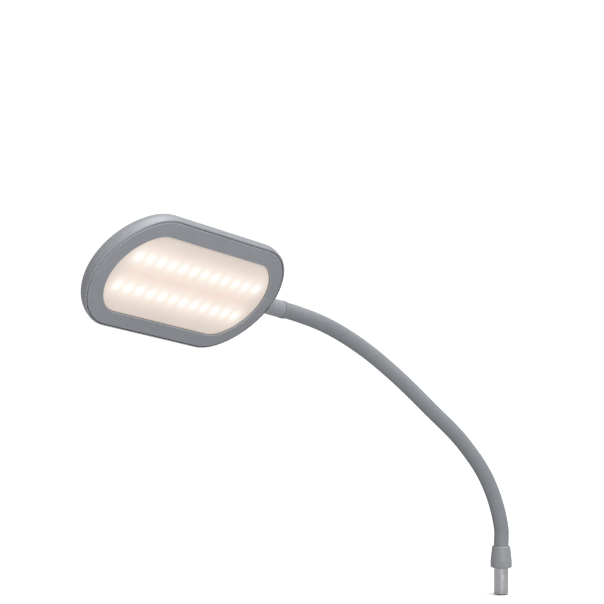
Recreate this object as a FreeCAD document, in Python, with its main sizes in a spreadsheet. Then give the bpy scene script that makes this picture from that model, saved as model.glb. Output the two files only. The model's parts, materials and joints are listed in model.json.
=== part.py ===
import FreeCAD, Part
import math
import os
import Sketcher

# Examination lamp: a flat light head on a bendable neck that stands on a mounting spigot.
#
# Frame: the origin is the centre of the ferrule's lower face, +Z up, the spigot hangs below it,
# and +X is the way the head points. The neck is a chain of short straight links on ball joints.
# Head pieces are drawn in the head's own frame: X along the head, towards its free end,
# and Z out of its back. The neck's axis runs at Z = 0 of that frame.

Vector = FreeCAD.Vector
Placement = FreeCAD.Placement
Rotation = FreeCAD.Rotation

LEVEL_TOLERANCE = 1e-4
ZERO_TOLERANCE = 1e-6
UPRIGHT_LIMIT = 0.2  # a link this near upright takes its bow axis from the heading

# Driving sizes: millimetres, degrees and counts
SIZES = [
    # foot
    ("spigot_radius", 8.0, "mounting spigot, outside"),
    ("spigot_bore", 5.5, "mounting spigot, inside"),
    ("spigot_length", 30.0, "spigot below the ferrule"),
    ("tenon_radius", 7.0, "spigot's tenon inside the ferrule"),
    ("tenon_length", 9.0, "spigot's tenon inside the ferrule"),
    ("spigot_bevel", 1.0, "lead-in at the spigot's tip"),
    ("ferrule_height", 24.0, "ferrule"),
    ("ferrule_foot_radius", 12.0, "ferrule, at its foot"),
    ("ferrule_lip", 1.95, "ferrule's mouth beyond the sleeve"),
    ("ferrule_edge", 0.8, "ferrule, edge bevels"),
    ("ferrule_band", 7.0, "straight band at the ferrule's foot"),
    ("grub_radius", 2.0, "grub screws"),
    ("grub_level", 4.0, "grub screws above the ferrule's foot"),
    ("grub_socket", 1.1, "grub screw socket radius"),
    ("grub_socket_depth", 2.0, "grub screw socket"),
    ("inlet_length", 15.0, "power inlet body"),
    ("inlet_bore", 2.8, "power inlet socket"),
    ("inlet_depth", 9.5, "power inlet socket depth"),
    ("inlet_pin_radius", 1.0, "power inlet centre pin"),
    ("inlet_pin_length", 8.5, "centre pin from the socket's floor"),
    ("inlet_pin_bevel", 0.3, "bevel on the centre pin's tip"),
    # neck
    ("neck_radius", 8.25, "sleeve, outside"),
    ("sleeve_bore", 5.5, "sleeve, inside"),
    ("core_bore", 2.9, "steel hose, inside"),
    ("lead_radius", 2.2, "lead through the neck"),
    ("sleeve_fit", 0.05, "radial gap between sleeve and hose"),
    ("lead_end_gap", 0.5, "lead's lower end to the power inlet"),
    ("ball_margin", 0.4, "ball joint radius beyond the sleeve's"),
    ("ball_gap", 0.4, "clearance between a link's ball and the next socket"),
    ("link_count", 8, "joints in the neck"),
    ("foot_run", 20.0, "straight neck above the ferrule"),
    ("low_bend_radius", 75.0, "first bend, tight"),
    ("low_bend_angle", 24.5, "first bend"),
    ("mid_bend_radius", 246.0, "second bend, wide"),
    ("mid_bend_angle", 24.6, "second bend"),
    ("mid_run", 75.0, "straight stretch"),
    ("neck_heading", -24.7, "plane of the lower bends, from +X towards +Y"),
    ("high_bend_radius", 275.0, "third bend, towards the head"),
    ("head_rise", 9.9, "head's axis above level"),
    ("head_roll", 49.0, "head turned about its axis, from light straight down"),
    ("high_run", 24.0, "straight neck below the head"),
    ("fitting_grip", 20.0, "end fittings inside the sleeve"),
    ("sleeve_seat", 14.0, "sleeve inside the ferrule"),
    ("flare_margin", 0.85, "sleeve's thick end at the head, beyond the sleeve"),
    ("flare_length", 3.0, "straight part of the thick end"),
    ("flare_taper", 7.0, "taper from the thick end to the sleeve"),
    ("flare_edge", 0.8, "bevel on the thick end"),
    # swivel
    ("pivot_radius", 4.0, "pivot tube the head turns on"),
    ("pivot_length", 33.0, "pivot tube beyond the sleeve"),
    ("pivot_play", 0.06, "radial running clearance of the pivot"),
    ("washer_thickness", 1.0, "friction washer"),
    ("washer_inset", 0.55, "friction washer inside the bush's barrel"),
    ("face_gap", 0.1, "axial clearance of turning faces"),
    ("barrel_margin", 0.5, "bush's outer barrel beyond the sleeve"),
    ("barrel_length", 16.3, "bush's outer barrel"),
    ("barrel_lead", 0.5, "bevel on the barrel's outer end"),
    ("barrel_bevel", 0.3, "bevel at the barrel's shoulder"),
    ("bush_wall", 2.14, "bush inside the head's boss, wall"),
    ("bush_stand", 0.2, "bush's end beyond the boss"),
    ("boss_length", 10.5, "head's boss, bush flange to the rim"),
    ("clip_thickness", 1.0, "retaining clip"),
    ("clip_reach", 0.9, "retaining clip beyond the pivot tube"),
    ("clip_play", 0.4, "bush's end to the retaining clip"),
    ("clip_room", 0.4, "retaining clip to the bezel's back"),
    ("clip_groove", 0.5, "depth of the clip's groove"),
    # head
    ("window_half_length", 105.7, "lit window, centre to end"),
    ("window_half_width", 46.1, "lit window, centre to side"),
    ("window_corner", 31.8, "lit window, corner radius"),
    ("end_crown", 2.6, "end arc radius beyond the half width"),
    ("bezel_width", 16.5, "window's edge to the seam"),
    ("seam_gap", 0.35, "groove between bezel and cover"),
    ("rim_width", 1.5, "cover's rim outside the seam"),
    ("rim_setback", 0.6, "bezel's face in front of the rim"),
    ("cover_wall", 2.6, "cover's side wall"),
    ("cover_back", 2.4, "cover's back wall"),
    ("cover_height", 18.4, "cover, rim to back"),
    ("cover_round", 13.0, "round of the cover's back edge"),
    ("cavity_round", 10.6, "round of the cavity's back edge"),
    ("rim_round", 0.9, "round of the rim's outer edge"),
    ("bezel_thickness", 2.2, "bezel plate"),
    ("bezel_bevel", 0.6, "bevel on the bezel's outer edge"),
    ("gasket_thickness", 0.8, "diffuser gasket"),
    ("gasket_width", 2.9, "diffuser gasket"),
    ("diffuser_gap", 0.3, "diffuser to the window's edge"),
    ("diffuser_recess", 0.6, "diffuser's face behind the bezel's"),
    ("flange_width", 3.5, "diffuser's flange behind the bezel"),
    ("flange_thickness", 1.6, "diffuser's flange"),
    ("post_radius", 3.25, "screw posts"),
    ("post_end_inset", 39.7, "outer screw posts from the window's end"),
    ("post_inset", 9.5, "screw posts outside the window's edge"),
    ("post_gap", 0.1, "between the bezel's and the cover's posts"),
    ("post_sink", 0.8, "cover's posts end this far below the cavity's back"),
    ("bezel_post", 4.3, "bezel's posts"),
    ("screw_radius", 1.5, "head screws, M3"),
    ("screw_hole", 1.7, "clearance hole"),
    ("screw_pilot", 1.5, "hole that the thread fills"),
    ("screw_end_gap", 0.3, "head screws' tips to the bezel's plate"),
    ("screw_head_radius", 2.75, "head screws' heads"),
    ("screw_head_height", 2.0, "head screws' heads"),
    ("screw_socket", 1.2, "head screws' socket radius"),
    ("screw_socket_depth", 1.2, "head screws' socket"),
    ("screw_sink", 3.0, "counterbore radius"),
    ("screw_seat", 4.0, "counterbore floor above the neck's axis"),
    # light engine
    ("led_columns", 12, "emitters along a row"),
    ("led_end_inset", 19.9, "last emitter of a row from the window's end"),
    ("led_row_gap", 34.9, "between the two rows"),
    ("led_size", 3.5, "emitter"),
    ("led_height", 0.9, "emitter"),
    ("led_window", 6.0, "hole in the tray around an emitter"),
    ("engine_room", 7.6, "emitter board's face below the cavity's back"),
    ("board_thickness", 1.6, "emitter board"),
    ("board_end_inset", 10.7, "emitter board's end from the window's end"),
    ("board_half_width", 30.0, "emitter board"),
    ("spreader_thickness", 1.6, "heat spreader"),
    ("spreader_margin", 3.0, "heat spreader beyond the board"),
    ("tray_sheet", 0.5, "reflector tray's floor"),
    ("tray_wall", 1.2, "reflector tray's wall"),
    ("tray_margin", 1.0, "reflector tray beyond the window"),
    ("tray_gap", 0.1, "tray's wall to the diffuser"),
    ("lead_notch_length", 9.0, "notch in the tray for the lead"),
    ("lead_notch_width", 6.0, "notch in the tray for the lead"),
    ("board_screw_end", 7.0, "board screws from the board's end"),
    ("board_screw_side", 6.0, "board screws from the board's side"),
    ("board_screw_head", 2.6, "board screws' head radius"),
    ("board_screw_head_height", 1.4, "board screws' heads"),
    ("board_screw_length", 7.0, "board screws' shanks"),
    # driver and switch
    ("driver_inset", 35.7, "driver board's centre and the button from the window's end"),
    ("driver_half_length", 22.0, "driver board"),
    ("driver_half_width", 14.0, "driver board"),
    ("driver_thickness", 1.0, "driver board"),
    ("pad_thickness", 0.6, "insulating pad under the driver"),
    ("connector_x", 17.0, "board connector from the driver's centre"),
    ("connector_y", 9.0, "board connector from the centre line"),
    ("connector_half_length", 3.5, "board connector"),
    ("connector_half_width", 2.0, "board connector"),
    ("connector_play", 0.5, "board connector in its slots"),
    ("coil_x", 16.0, "choke from the driver's centre"),
    ("coil_y", 7.0, "choke from the centre line"),
    ("coil_radius", 4.5, "choke"),
    ("coil_height", 2.6, "choke"),
    ("coil_flange", 0.6, "choke's flanges"),
    ("coil_waist", 3.5, "choke between its flanges"),
    ("capacitor_x", 18.0, "capacitors from the driver's centre"),
    ("capacitor_y", 9.0, "capacitors from the centre line"),
    ("capacitor_radius", 2.5, "capacitors"),
    ("capacitor_height", 2.4, "capacitors"),
    ("button_radius", 7.0, "push button"),
    ("button_proud", 1.4, "push button above the cover's back"),
    ("button_play", 0.3, "push button in its hole"),
    ("button_flange", 1.4, "push button's flange beyond its side"),
    ("button_flange_height", 0.9, "push button's flange"),
    ("button_rest_gap", 0.15, "flange to the cover's back wall"),
    ("button_travel", 0.8, "push button's stroke"),
    ("button_dish", 0.5, "finger dish in the button, and the round of its edge"),
    ("dish_margin", 2.0, "finger dish inside the button's side"),
    ("switch_radius", 3.0, "switch"),
    ("switch_gap", 0.2, "button's flange to the switch at full stroke"),
    ("spring_radius", 5.0, "button spring, middle of the wire"),
    ("spring_wire", 0.25, "button spring's wire radius"),
    ("spring_turns", 2.5, "button spring"),
    ("spring_gap", 0.05, "button spring's ends to what they press on"),
    ("head_lead_radius", 1.2, "lead inside the head"),
    ("head_lead_bend", 9.0, "bend radius of the lead inside the head"),
    ("head_lead_gap", 0.6, "neck lead's end to the head lead"),
    ("head_lead_start", 2.5, "straight start of the lead beside the pivot"),
    ("head_lead_landing", 3.0, "lead's end over the driver board"),
    ("head_lead_lift", 0.05, "lead above the driver board"),
]

size = {alias: number for alias, number, note in SIZES}
doc = FreeCAD.newDocument("ExaminationLamp")


def makeSheet():
    sheet = doc.addObject("Spreadsheet::Sheet", "Sizes")
    for row, (alias, number, note) in enumerate(SIZES, 1):
        sheet.set(f"A{row}", note)
        sheet.set(f"B{row}", str(number))
        sheet.setAlias(f"B{row}", alias)


# A measure is written as named sizes and plain numbers, each with an optional factor after a
# star, joined by + and -. The same words give the number and the expression that binds it.

def value(measure):
    total = 0.0
    sign = 1.0
    for word in measure.split():
        if word in ("+", "-"):
            sign = 1.0 if word == "+" else -1.0
            continue
        term = sign
        for factor in word.split("*"):
            term *= size[factor] if factor in size else float(factor)
        total += term
        sign = 1.0
    return total


def bound(measure):
    words = []
    for word in measure.split():
        factors = [f"Sizes.{factor}" if factor in size else factor for factor in word.split("*")]
        words.append(" * ".join(factors))
    return " ".join(words)


# Sketches and features

def newBody(name, placement):
    body = doc.addObject("PartDesign::Body", name)
    body.Label = name
    body.AllowCompound = True
    body.Placement = placement
    return body


def newSketch(body, name, level=None, plane="XY_Plane"):
    sketch = body.newObject("Sketcher::SketchObject", name)
    role = [feature for feature in body.Origin.OriginFeatures if feature.Role == plane]
    sketch.AttachmentSupport = (role[0], [""])
    sketch.MapMode = "FlatFace"
    if level:
        sketch.setExpression("AttachmentOffset.Base.z", bound(level))
    return sketch


def addDimension(sketch, constraint, measure):
    index = sketch.addConstraint(constraint)
    sketch.setExpression(f"Constraints[{index}]", bound(measure))


def negated(measure):
    flipped = []
    for word in ("+ " + measure if measure.split()[0] not in ("+", "-") else measure).split():
        flipped.append({"+": "-", "-": "+"}.get(word, word))
    return " ".join(flipped)


# The length from one level or station to another
def between(low, high):
    return high + " " + negated(low)


# Holds one point of a sketch at (x, y) from the sketch's origin
def pinPoint(sketch, edge, end, x, y):
    for measure, kind, axis in ((x, "DistanceX", -2), (y, "DistanceY", -1)):
        number = value(measure)
        if abs(number) < ZERO_TOLERANCE:
            sketch.addConstraint(Sketcher.Constraint("PointOnObject", edge, end, axis))
        elif number > 0:
            addDimension(sketch, Sketcher.Constraint(kind, -1, 1, edge, end, number), measure)
        else:
            away = negated(measure)
            addDimension(sketch, Sketcher.Constraint(kind, edge, end, -1, 1, -number), away)


def addPolygon(sketch, points):
    corners = [Vector(value(x), value(y), 0) for x, y in points]
    first = sketch.GeometryCount
    count = len(corners)
    for place, corner in enumerate(corners):
        sketch.addGeometry(Part.LineSegment(corner, corners[(place + 1) % count]))
    for place in range(count):
        follower = first + (place + 1) % count
        sketch.addConstraint(Sketcher.Constraint("Coincident", first + place, 2, follower, 1))
    for place, (x, y) in enumerate(points):
        pinPoint(sketch, first + place, 1, x, y)


def addBox(sketch, x, y, half_length, half_width):
    left = f"{x} {negated(half_length)}"
    right = f"{x} + {half_length}"
    low = f"{y} {negated(half_width)}"
    high = f"{y} + {half_width}"
    addPolygon(sketch, [(left, low), (right, low), (right, high), (left, high)])


def addCircle(sketch, x, y, radius):
    centre = Vector(value(x), value(y), 0)
    edge = sketch.addGeometry(Part.Circle(centre, Vector(0, 0, 1), value(radius)))
    addDimension(sketch, Sketcher.Constraint("Radius", edge, value(radius)), radius)
    pinPoint(sketch, edge, 3, x, y)


# The head's outline: two straight sides, a wide arc across each end and a tighter arc at each
# corner, all tangent. An offset grows it outwards about the same centres.
def addOutline(sketch, offset):
    corner = value("window_corner") + value(offset)
    end = value("window_half_width + end_crown") + value(offset)
    side = value("window_half_width") + value(offset)
    end_centre = value("window_half_length - window_half_width - end_crown")
    rise = side - corner
    run = math.sqrt((end - corner) ** 2 - rise ** 2)
    corner_centre = end_centre + run
    turn = math.atan2(rise, run)
    first = sketch.GeometryCount

    def addArc(x, y, radius, start, stop):
        circle = Part.Circle(Vector(x, y, 0), Vector(0, 0, 1), radius)
        sketch.addGeometry(Part.ArcOfCircle(circle, start, stop))

    def addLine(x0, y0, x1, y1):
        sketch.addGeometry(Part.LineSegment(Vector(x0, y0, 0), Vector(x1, y1, 0)))

    quarter = math.pi / 2
    addArc(end_centre, 0, end, -turn, turn)
    addArc(corner_centre, rise, corner, turn, quarter)
    addLine(corner_centre, side, -corner_centre, side)
    addArc(-corner_centre, rise, corner, quarter, 2 * quarter - turn)
    addArc(-end_centre, 0, end, 2 * quarter - turn, 2 * quarter + turn)
    addArc(-corner_centre, -rise, corner, 2 * quarter + turn, 3 * quarter)
    addLine(-corner_centre, -side, corner_centre, -side)
    addArc(corner_centre, -rise, corner, 3 * quarter, 4 * quarter - turn)
    right, top_right, top, top_left, left, low_left, low, low_right = range(first, first + 8)
    for edge in range(8):
        follower = first + (edge + 1) % 8
        sketch.addConstraint(Sketcher.Constraint("Tangent", first + edge, 2, follower, 1))
    sketch.addConstraint(Sketcher.Constraint("Horizontal", top))
    sketch.addConstraint(Sketcher.Constraint("Horizontal", low))
    for other in (top_left, low_left, low_right):
        sketch.addConstraint(Sketcher.Constraint("Equal", top_right, other))
    sketch.addConstraint(Sketcher.Constraint("Equal", right, left))
    addDimension(sketch, Sketcher.Constraint("Radius", top_right, corner),
                 f"window_corner + {offset}")
    addDimension(sketch, Sketcher.Constraint("Radius", right, end),
                 f"window_half_width + end_crown + {offset}")
    pinPoint(sketch, right, 3, "window_half_length - window_half_width - end_crown", "0")
    pinPoint(sketch, left, 3, "- window_half_length + window_half_width + end_crown", "0")
    addDimension(sketch, Sketcher.Constraint("DistanceY", -1, 1, top, 1, side),
                 f"window_half_width + {offset}")
    addDimension(sketch, Sketcher.Constraint("DistanceY", low, 1, -1, 1, side),
                 f"window_half_width + {offset}")


def addPad(body, sketch, height):
    pad = body.newObject("PartDesign::Pad", sketch.Name + "_pad")
    pad.Profile = sketch
    pad.setExpression("Length", bound(height))
    return pad


# Cuts upwards from the sketch's plane
def addPocket(body, sketch, depth):
    pocket = body.newObject("PartDesign::Pocket", sketch.Name + "_cut")
    pocket.Profile = sketch
    pocket.Reversed = True
    pocket.setExpression("Length", bound(depth))
    return pocket


# Edges that lie flat at one level
def levelEdges(feature, level):
    doc.recompute()
    names = []
    back = feature.Shape.copy()
    back.Placement = Placement()
    for number, edge in enumerate(back.Edges, 1):
        box = edge.BoundBox
        if max(abs(box.ZMin - level), abs(box.ZMax - level)) < LEVEL_TOLERANCE:
            names.append(f"Edge{number}")
    return names


def addEdgeWork(body, kind, feature, level, measure):
    work = body.newObject("PartDesign::" + kind, feature.Name + "_" + kind.lower())
    work.Base = (feature, levelEdges(feature, level))
    work.setExpression("Radius" if kind == "Fillet" else "Size", bound(measure))
    return work


# A piece turned about its own X axis, from a closed profile of (station, radius) points
def makeTurned(name, placement, points):
    body = newBody(name, placement)
    sketch = newSketch(body, name + "_profile")
    addPolygon(sketch, points)
    turn = body.newObject("PartDesign::Revolution", name + "_turn")
    turn.Profile = sketch
    turn.ReferenceAxis = (sketch, ["H_Axis"])
    turn.Angle = 360
    return body


# A flat piece with the head's outline, or a ring where an inner offset is given
def makeOutlinePlate(name, placement, offset, height, inner=None):
    body = newBody(name, placement)
    sketch = newSketch(body, name + "_outline")
    addOutline(sketch, offset)
    if inner:
        addOutline(sketch, inner)
    addPad(body, sketch, height)
    return body


# Measures that several pieces share. Stations run along the head's axis from the swivel plane,
# and levels along its Z from the neck's axis.
FLARE_RADIUS = "neck_radius + flare_margin"
BARREL_RADIUS = "neck_radius + barrel_margin"
BUSH_RADIUS = "pivot_radius + pivot_play + bush_wall"
BUSH_START = "washer_thickness + face_gap"
BUSH_SHOULDER = BUSH_START + " + barrel_length"
BUSH_END = BUSH_SHOULDER + " + boss_length + bush_stand"
CLIP_SEAT = BUSH_END + " + clip_play"
BEZEL_BACK = "- pivot_radius - clip_reach - clip_room"
FACE = BEZEL_BACK + " - bezel_thickness"
RIM = FACE + " + rim_setback"
BACK = RIM + " + cover_height"
POST_FOOT = BEZEL_BACK + " + bezel_post + post_gap"
CAVITY_TOP = BACK + " - cover_back"
BOARD_FACE = CAVITY_TOP + " - engine_room"
BOARD_BACK = BOARD_FACE + " + board_thickness"
SPREADER_BACK = BOARD_BACK + " + spreader_thickness"
DRIVER_FACE = SPREADER_BACK + " + pad_thickness"
DRIVER_BACK = DRIVER_FACE + " + driver_thickness"
TRAY_FACE = BOARD_FACE + " - tray_sheet"
FLANGE_TOP = CAVITY_TOP + " - button_rest_gap"
BOARD_HALF_LENGTH = "window_half_length - board_end_inset"
DRIVER_X = "- window_half_length + driver_inset"


# Neck: the centre line, walked from the foot to the head

def rotateTowards(start, target, angle):
    axis = start.cross(target)
    return Rotation(axis, angle).multVec(start)


# Stretches of the centre line: (length, direction at its start, direction at its end)
def neckStretches():
    up = Vector(0, 0, 1)
    heading = math.radians(size["neck_heading"])
    outward = Vector(math.cos(heading), math.sin(heading), 0)
    rise = math.radians(size["head_rise"])
    final = Vector(math.cos(rise), 0, math.sin(rise))
    low = size["low_bend_angle"]
    mid = size["mid_bend_angle"]
    first = rotateTowards(up, outward, low)
    second = rotateTowards(up, outward, low + mid)
    high = math.degrees(second.getAngle(final))
    return [
        (size["foot_run"], up, up),
        (size["low_bend_radius"] * math.radians(low), up, first),
        (size["mid_bend_radius"] * math.radians(mid), first, second),
        (size["mid_run"], second, second),
        (size["high_bend_radius"] * math.radians(high), second, final),
        (size["high_run"], final, final),
    ]


def neckPoint(distance):
    point = Vector(0, 0, size["ferrule_height"])
    for length, start, stop in neckStretches():
        part = min(distance, length)
        turn = start.getAngle(stop)
        if turn < ZERO_TOLERANCE:
            point = point + start * part
        else:
            radius = length / turn
            side = start.cross(stop).cross(start).normalize()
            angle = part / radius
            point = point + start * (radius * math.sin(angle))
            point = point + side * (radius * (1 - math.cos(angle)))
        distance -= part
        if distance <= 0:
            break
    return point


# The joints' centres, from the foot up, and last the plane that the head turns on
def neckNodes():
    total = sum(length for length, start, stop in neckStretches())
    count = int(size["link_count"])
    span = (total - size["foot_run"] - size["high_run"]) / (count - 1)
    nodes = [neckPoint(size["foot_run"] + span * place) for place in range(count)]
    return nodes + [neckPoint(total)]


def framePlacement(origin, along):
    return Placement(origin, Rotation(Vector(1, 0, 0), along))


def neckLinks():
    nodes = neckNodes()
    links = []
    for start, stop in zip(nodes, nodes[1:]):
        along = stop - start
        links.append((framePlacement(start, along), along.Length))
    return links


# Joint axes: the first, third and later odd joints bow the neck in its upright plane, and the
# even ones swing it sideways
def neckAxes():
    nodes = neckNodes()
    heading = math.radians(size["neck_heading"])
    below = [Vector(0, 0, 1)]
    for start, stop in zip(nodes, nodes[1:]):
        below.append((stop - start).normalize())
    axes = []
    for place in range(int(size["link_count"])):
        along = (below[place] + below[place + 1]).normalize()
        bow = Vector(0, 0, 1).cross(along)
        if bow.Length < UPRIGHT_LIMIT:
            bow = Vector(-math.sin(heading), math.cos(heading), 0)
        bow.normalize()
        axes.append(bow if place % 2 == 0 else bow.cross(along).normalize())
    return axes


# The head's frame: X along the head, Z out of its back, origin in the swivel plane
def headFrame():
    origin = neckNodes()[-1]
    tilt = Rotation(Vector(0, 1, 0), -size["head_rise"])
    roll = Rotation(Vector(1, 0, 0), size["head_roll"])
    return Placement(origin, tilt.multiply(roll))


def headCentre():
    return value(BUSH_SHOULDER + " + boss_length + bezel_width + window_half_length")


# A place in the head, from the middle of the head and the neck's axis
def inHead(x="0", level="0"):
    shift = Placement(Vector(headCentre() + value(x), 0, value(level)), Rotation())
    return headFrame().multiply(shift)


def onSwivel():
    return headFrame()


def onFoot():
    return framePlacement(Vector(0, 0, 0), Vector(0, 0, 1))


# Part of a neck link: a tube from one ball joint's centre to the next. A ball start is round
# about the first centre, and a socket end clears the ball about the second.
def makeLinkTube(name, placement, length, outer, inner, start="ball", end="socket", reach=0.0):
    body = newBody(name, placement)
    sketch = newSketch(body, name + "_profile")
    ball = value("neck_radius + ball_margin")
    socket = ball + size["ball_gap"]
    radius_out = value(outer)
    radius_in = value(inner) if inner else 0.0

    def ballStation(radius):
        return -math.sqrt(ball ** 2 - radius ** 2) if start == "ball" else -reach

    def socketStation(radius):
        return length - math.sqrt(socket ** 2 - radius ** 2) if end == "socket" else length

    corners = [Vector(ballStation(radius_out), radius_out, 0),
               Vector(socketStation(radius_out), radius_out, 0),
               Vector(socketStation(radius_in), radius_in, 0),
               Vector(ballStation(radius_in), radius_in, 0)]
    sketch.addGeometry(Part.LineSegment(corners[0], corners[1]))
    if end == "socket":
        centre = Part.Circle(Vector(length, 0, 0), Vector(0, 0, 1), socket)
        turns = [math.pi - math.asin(radius / socket) for radius in (radius_out, radius_in)]
        sketch.addGeometry(Part.ArcOfCircle(centre, turns[0], turns[1]))
    else:
        sketch.addGeometry(Part.LineSegment(corners[1], corners[2]))
    sketch.addGeometry(Part.LineSegment(corners[2], corners[3]))
    if start == "ball":
        centre = Part.Circle(Vector(0, 0, 0), Vector(0, 0, 1), ball)
        turns = [math.pi - math.asin(radius / ball) for radius in (radius_out, radius_in)]
        sketch.addGeometry(Part.ArcOfCircle(centre, turns[0], turns[1]))
        ends = (2, 1)
    else:
        sketch.addGeometry(Part.LineSegment(corners[3], corners[0]))
        ends = (1, 2)
    sketch.addConstraint(Sketcher.Constraint("Coincident", 0, 2, 1, 1))
    sketch.addConstraint(Sketcher.Constraint("Coincident", 1, 2, 2, 1))
    sketch.addConstraint(Sketcher.Constraint("Coincident", 2, 2, 3, ends[0]))
    sketch.addConstraint(Sketcher.Constraint("Coincident", 0, 1, 3, ends[1]))
    sketch.addConstraint(Sketcher.Constraint("Horizontal", 0))
    addDimension(sketch, Sketcher.Constraint("DistanceY", -1, 1, 0, 1, radius_out), outer)
    if inner:
        sketch.addConstraint(Sketcher.Constraint("Horizontal", 2))
        addDimension(sketch, Sketcher.Constraint("DistanceY", -1, 1, 2, 1, radius_in), inner)
    else:
        sketch.addConstraint(Sketcher.Constraint("PointOnObject", 2, 1, -1))
        sketch.addConstraint(Sketcher.Constraint("PointOnObject", 2, 2, -1))
    if start == "ball":
        sketch.addConstraint(Sketcher.Constraint("Coincident", 3, 3, -1, 1))
        addDimension(sketch, Sketcher.Constraint("Radius", 3, ball), "neck_radius + ball_margin")
    else:
        sketch.addConstraint(Sketcher.Constraint("Vertical", 3))
        sketch.addConstraint(Sketcher.Constraint("DistanceX", 0, 1, -1, 1, reach))
    if end == "socket":
        sketch.addConstraint(Sketcher.Constraint("PointOnObject", 1, 3, -1))
        sketch.addConstraint(Sketcher.Constraint("DistanceX", -1, 1, 1, 3, length))
        addDimension(sketch, Sketcher.Constraint("Radius", 1, socket),
                     "neck_radius + ball_margin + ball_gap")
    else:
        sketch.addConstraint(Sketcher.Constraint("Vertical", 1))
        sketch.addConstraint(Sketcher.Constraint("DistanceX", -1, 1, 0, 2, length))
    turn = body.newObject("PartDesign::Revolution", name + "_turn")
    turn.Profile = sketch
    turn.ReferenceAxis = (sketch, ["H_Axis"])
    turn.Angle = 360
    return body


# Foot

def makeSpigot():
    tip = "- spigot_length"
    return makeTurned("mounting_spigot", onFoot(), [
        (tip, "spigot_bore"),
        (tip, "spigot_radius - spigot_bevel"),
        (tip + " + spigot_bevel", "spigot_radius"),
        ("0", "spigot_radius"),
        ("0", "tenon_radius"),
        ("tenon_length", "tenon_radius"),
        ("tenon_length", "spigot_bore"),
    ])


def makeFerrule():
    body = makeTurned("foot_ferrule", onFoot(), [
        ("spigot_radius - tenon_radius", "tenon_radius"),
        ("0", "spigot_radius"),
        ("0", "ferrule_foot_radius - ferrule_edge"),
        ("ferrule_edge", "ferrule_foot_radius"),
        ("ferrule_band", "ferrule_foot_radius"),
        ("ferrule_height - ferrule_edge", "neck_radius + ferrule_lip"),
        ("ferrule_height", "neck_radius + ferrule_lip - ferrule_edge"),
        ("ferrule_height", "neck_radius + sleeve_fit"),
        ("ferrule_height - sleeve_seat", "neck_radius + sleeve_fit"),
        ("ferrule_height - sleeve_seat", "tenon_radius"),
    ])
    sketch = newSketch(body, "grub_holes")
    addCircle(sketch, "grub_level", "0", "grub_radius")
    holes = body.newObject("PartDesign::Pocket", "grub_holes_cut")
    holes.Profile = sketch
    holes.Midplane = True
    holes.setExpression("Length", bound("ferrule_foot_radius*2"))
    return body


def makeGrubScrews():
    body = newBody("grub_screws", onFoot())
    outside = "ferrule_foot_radius - ferrule_edge"
    for side, level in (("near", "tenon_radius"), ("far", "- ferrule_foot_radius + ferrule_edge")):
        sketch = newSketch(body, f"grub_{side}", level)
        addCircle(sketch, "grub_level", "0", "grub_radius")
        addPad(body, sketch, outside + " - tenon_radius")
    for side, level in (("near", outside + " - grub_socket_depth"), ("far", negated(outside))):
        sketch = newSketch(body, f"grub_socket_{side}", level)
        addCircle(sketch, "grub_level", "0", "grub_socket")
        addPocket(body, sketch, "grub_socket_depth")
    return body


def makeInlet():
    mouth = "- spigot_length"
    floor = mouth + " + inlet_depth"
    top = mouth + " + inlet_length"
    makeTurned("power_inlet", onFoot(), [
        (mouth, "inlet_bore"),
        (mouth, "spigot_bore"),
        (top, "spigot_bore"),
        (top, "inlet_pin_radius"),
        (floor, "inlet_pin_radius"),
        (floor, "inlet_bore"),
    ])
    makeTurned("inlet_pin", onFoot(), [
        (floor + " - inlet_pin_length", "0"),
        (floor + " - inlet_pin_length", "inlet_pin_radius - inlet_pin_bevel"),
        (floor + " - inlet_pin_length + inlet_pin_bevel", "inlet_pin_radius"),
        (top, "inlet_pin_radius"),
        (top, "0"),
    ])


# Brass fittings at the ends of the neck's steel hose

def makeLowerFitting():
    low = "ferrule_height - fitting_grip"
    return makeTurned("lower_end_fitting", onFoot(), [
        (low, "core_bore"),
        (low, "spigot_bore"),
        ("ferrule_height", "spigot_bore"),
        ("ferrule_height", "core_bore"),
    ])


def makeUpperFitting():
    far = CLIP_SEAT + " + clip_thickness"
    return makeTurned("upper_end_fitting", onSwivel(), [
        ("- fitting_grip", "core_bore"),
        ("- fitting_grip", "sleeve_bore"),
        ("0", "sleeve_bore"),
        ("0", "pivot_radius"),
        (CLIP_SEAT, "pivot_radius"),
        (CLIP_SEAT, "pivot_radius - clip_groove"),
        (far, "pivot_radius - clip_groove"),
        (far, "pivot_radius"),
        ("pivot_length", "pivot_radius"),
        ("pivot_length", "core_bore"),
    ])


def makeClip():
    rim = "pivot_radius + clip_reach"
    body = makeTurned("retaining_clip", onSwivel(), [
        (CLIP_SEAT, "pivot_radius - clip_groove"),
        (CLIP_SEAT, rim),
        (CLIP_SEAT + " + clip_thickness", rim),
        (CLIP_SEAT + " + clip_thickness", "pivot_radius - clip_groove"),
    ])
    sketch = newSketch(body, "clip_opening")
    addBox(sketch, CLIP_SEAT + " + clip_thickness*0.5", rim, "clip_thickness", rim)
    opening = body.newObject("PartDesign::Pocket", "clip_opening_cut")
    opening.Profile = sketch
    opening.Midplane = True
    opening.setExpression("Length", bound("pivot_radius"))
    return body


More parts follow.
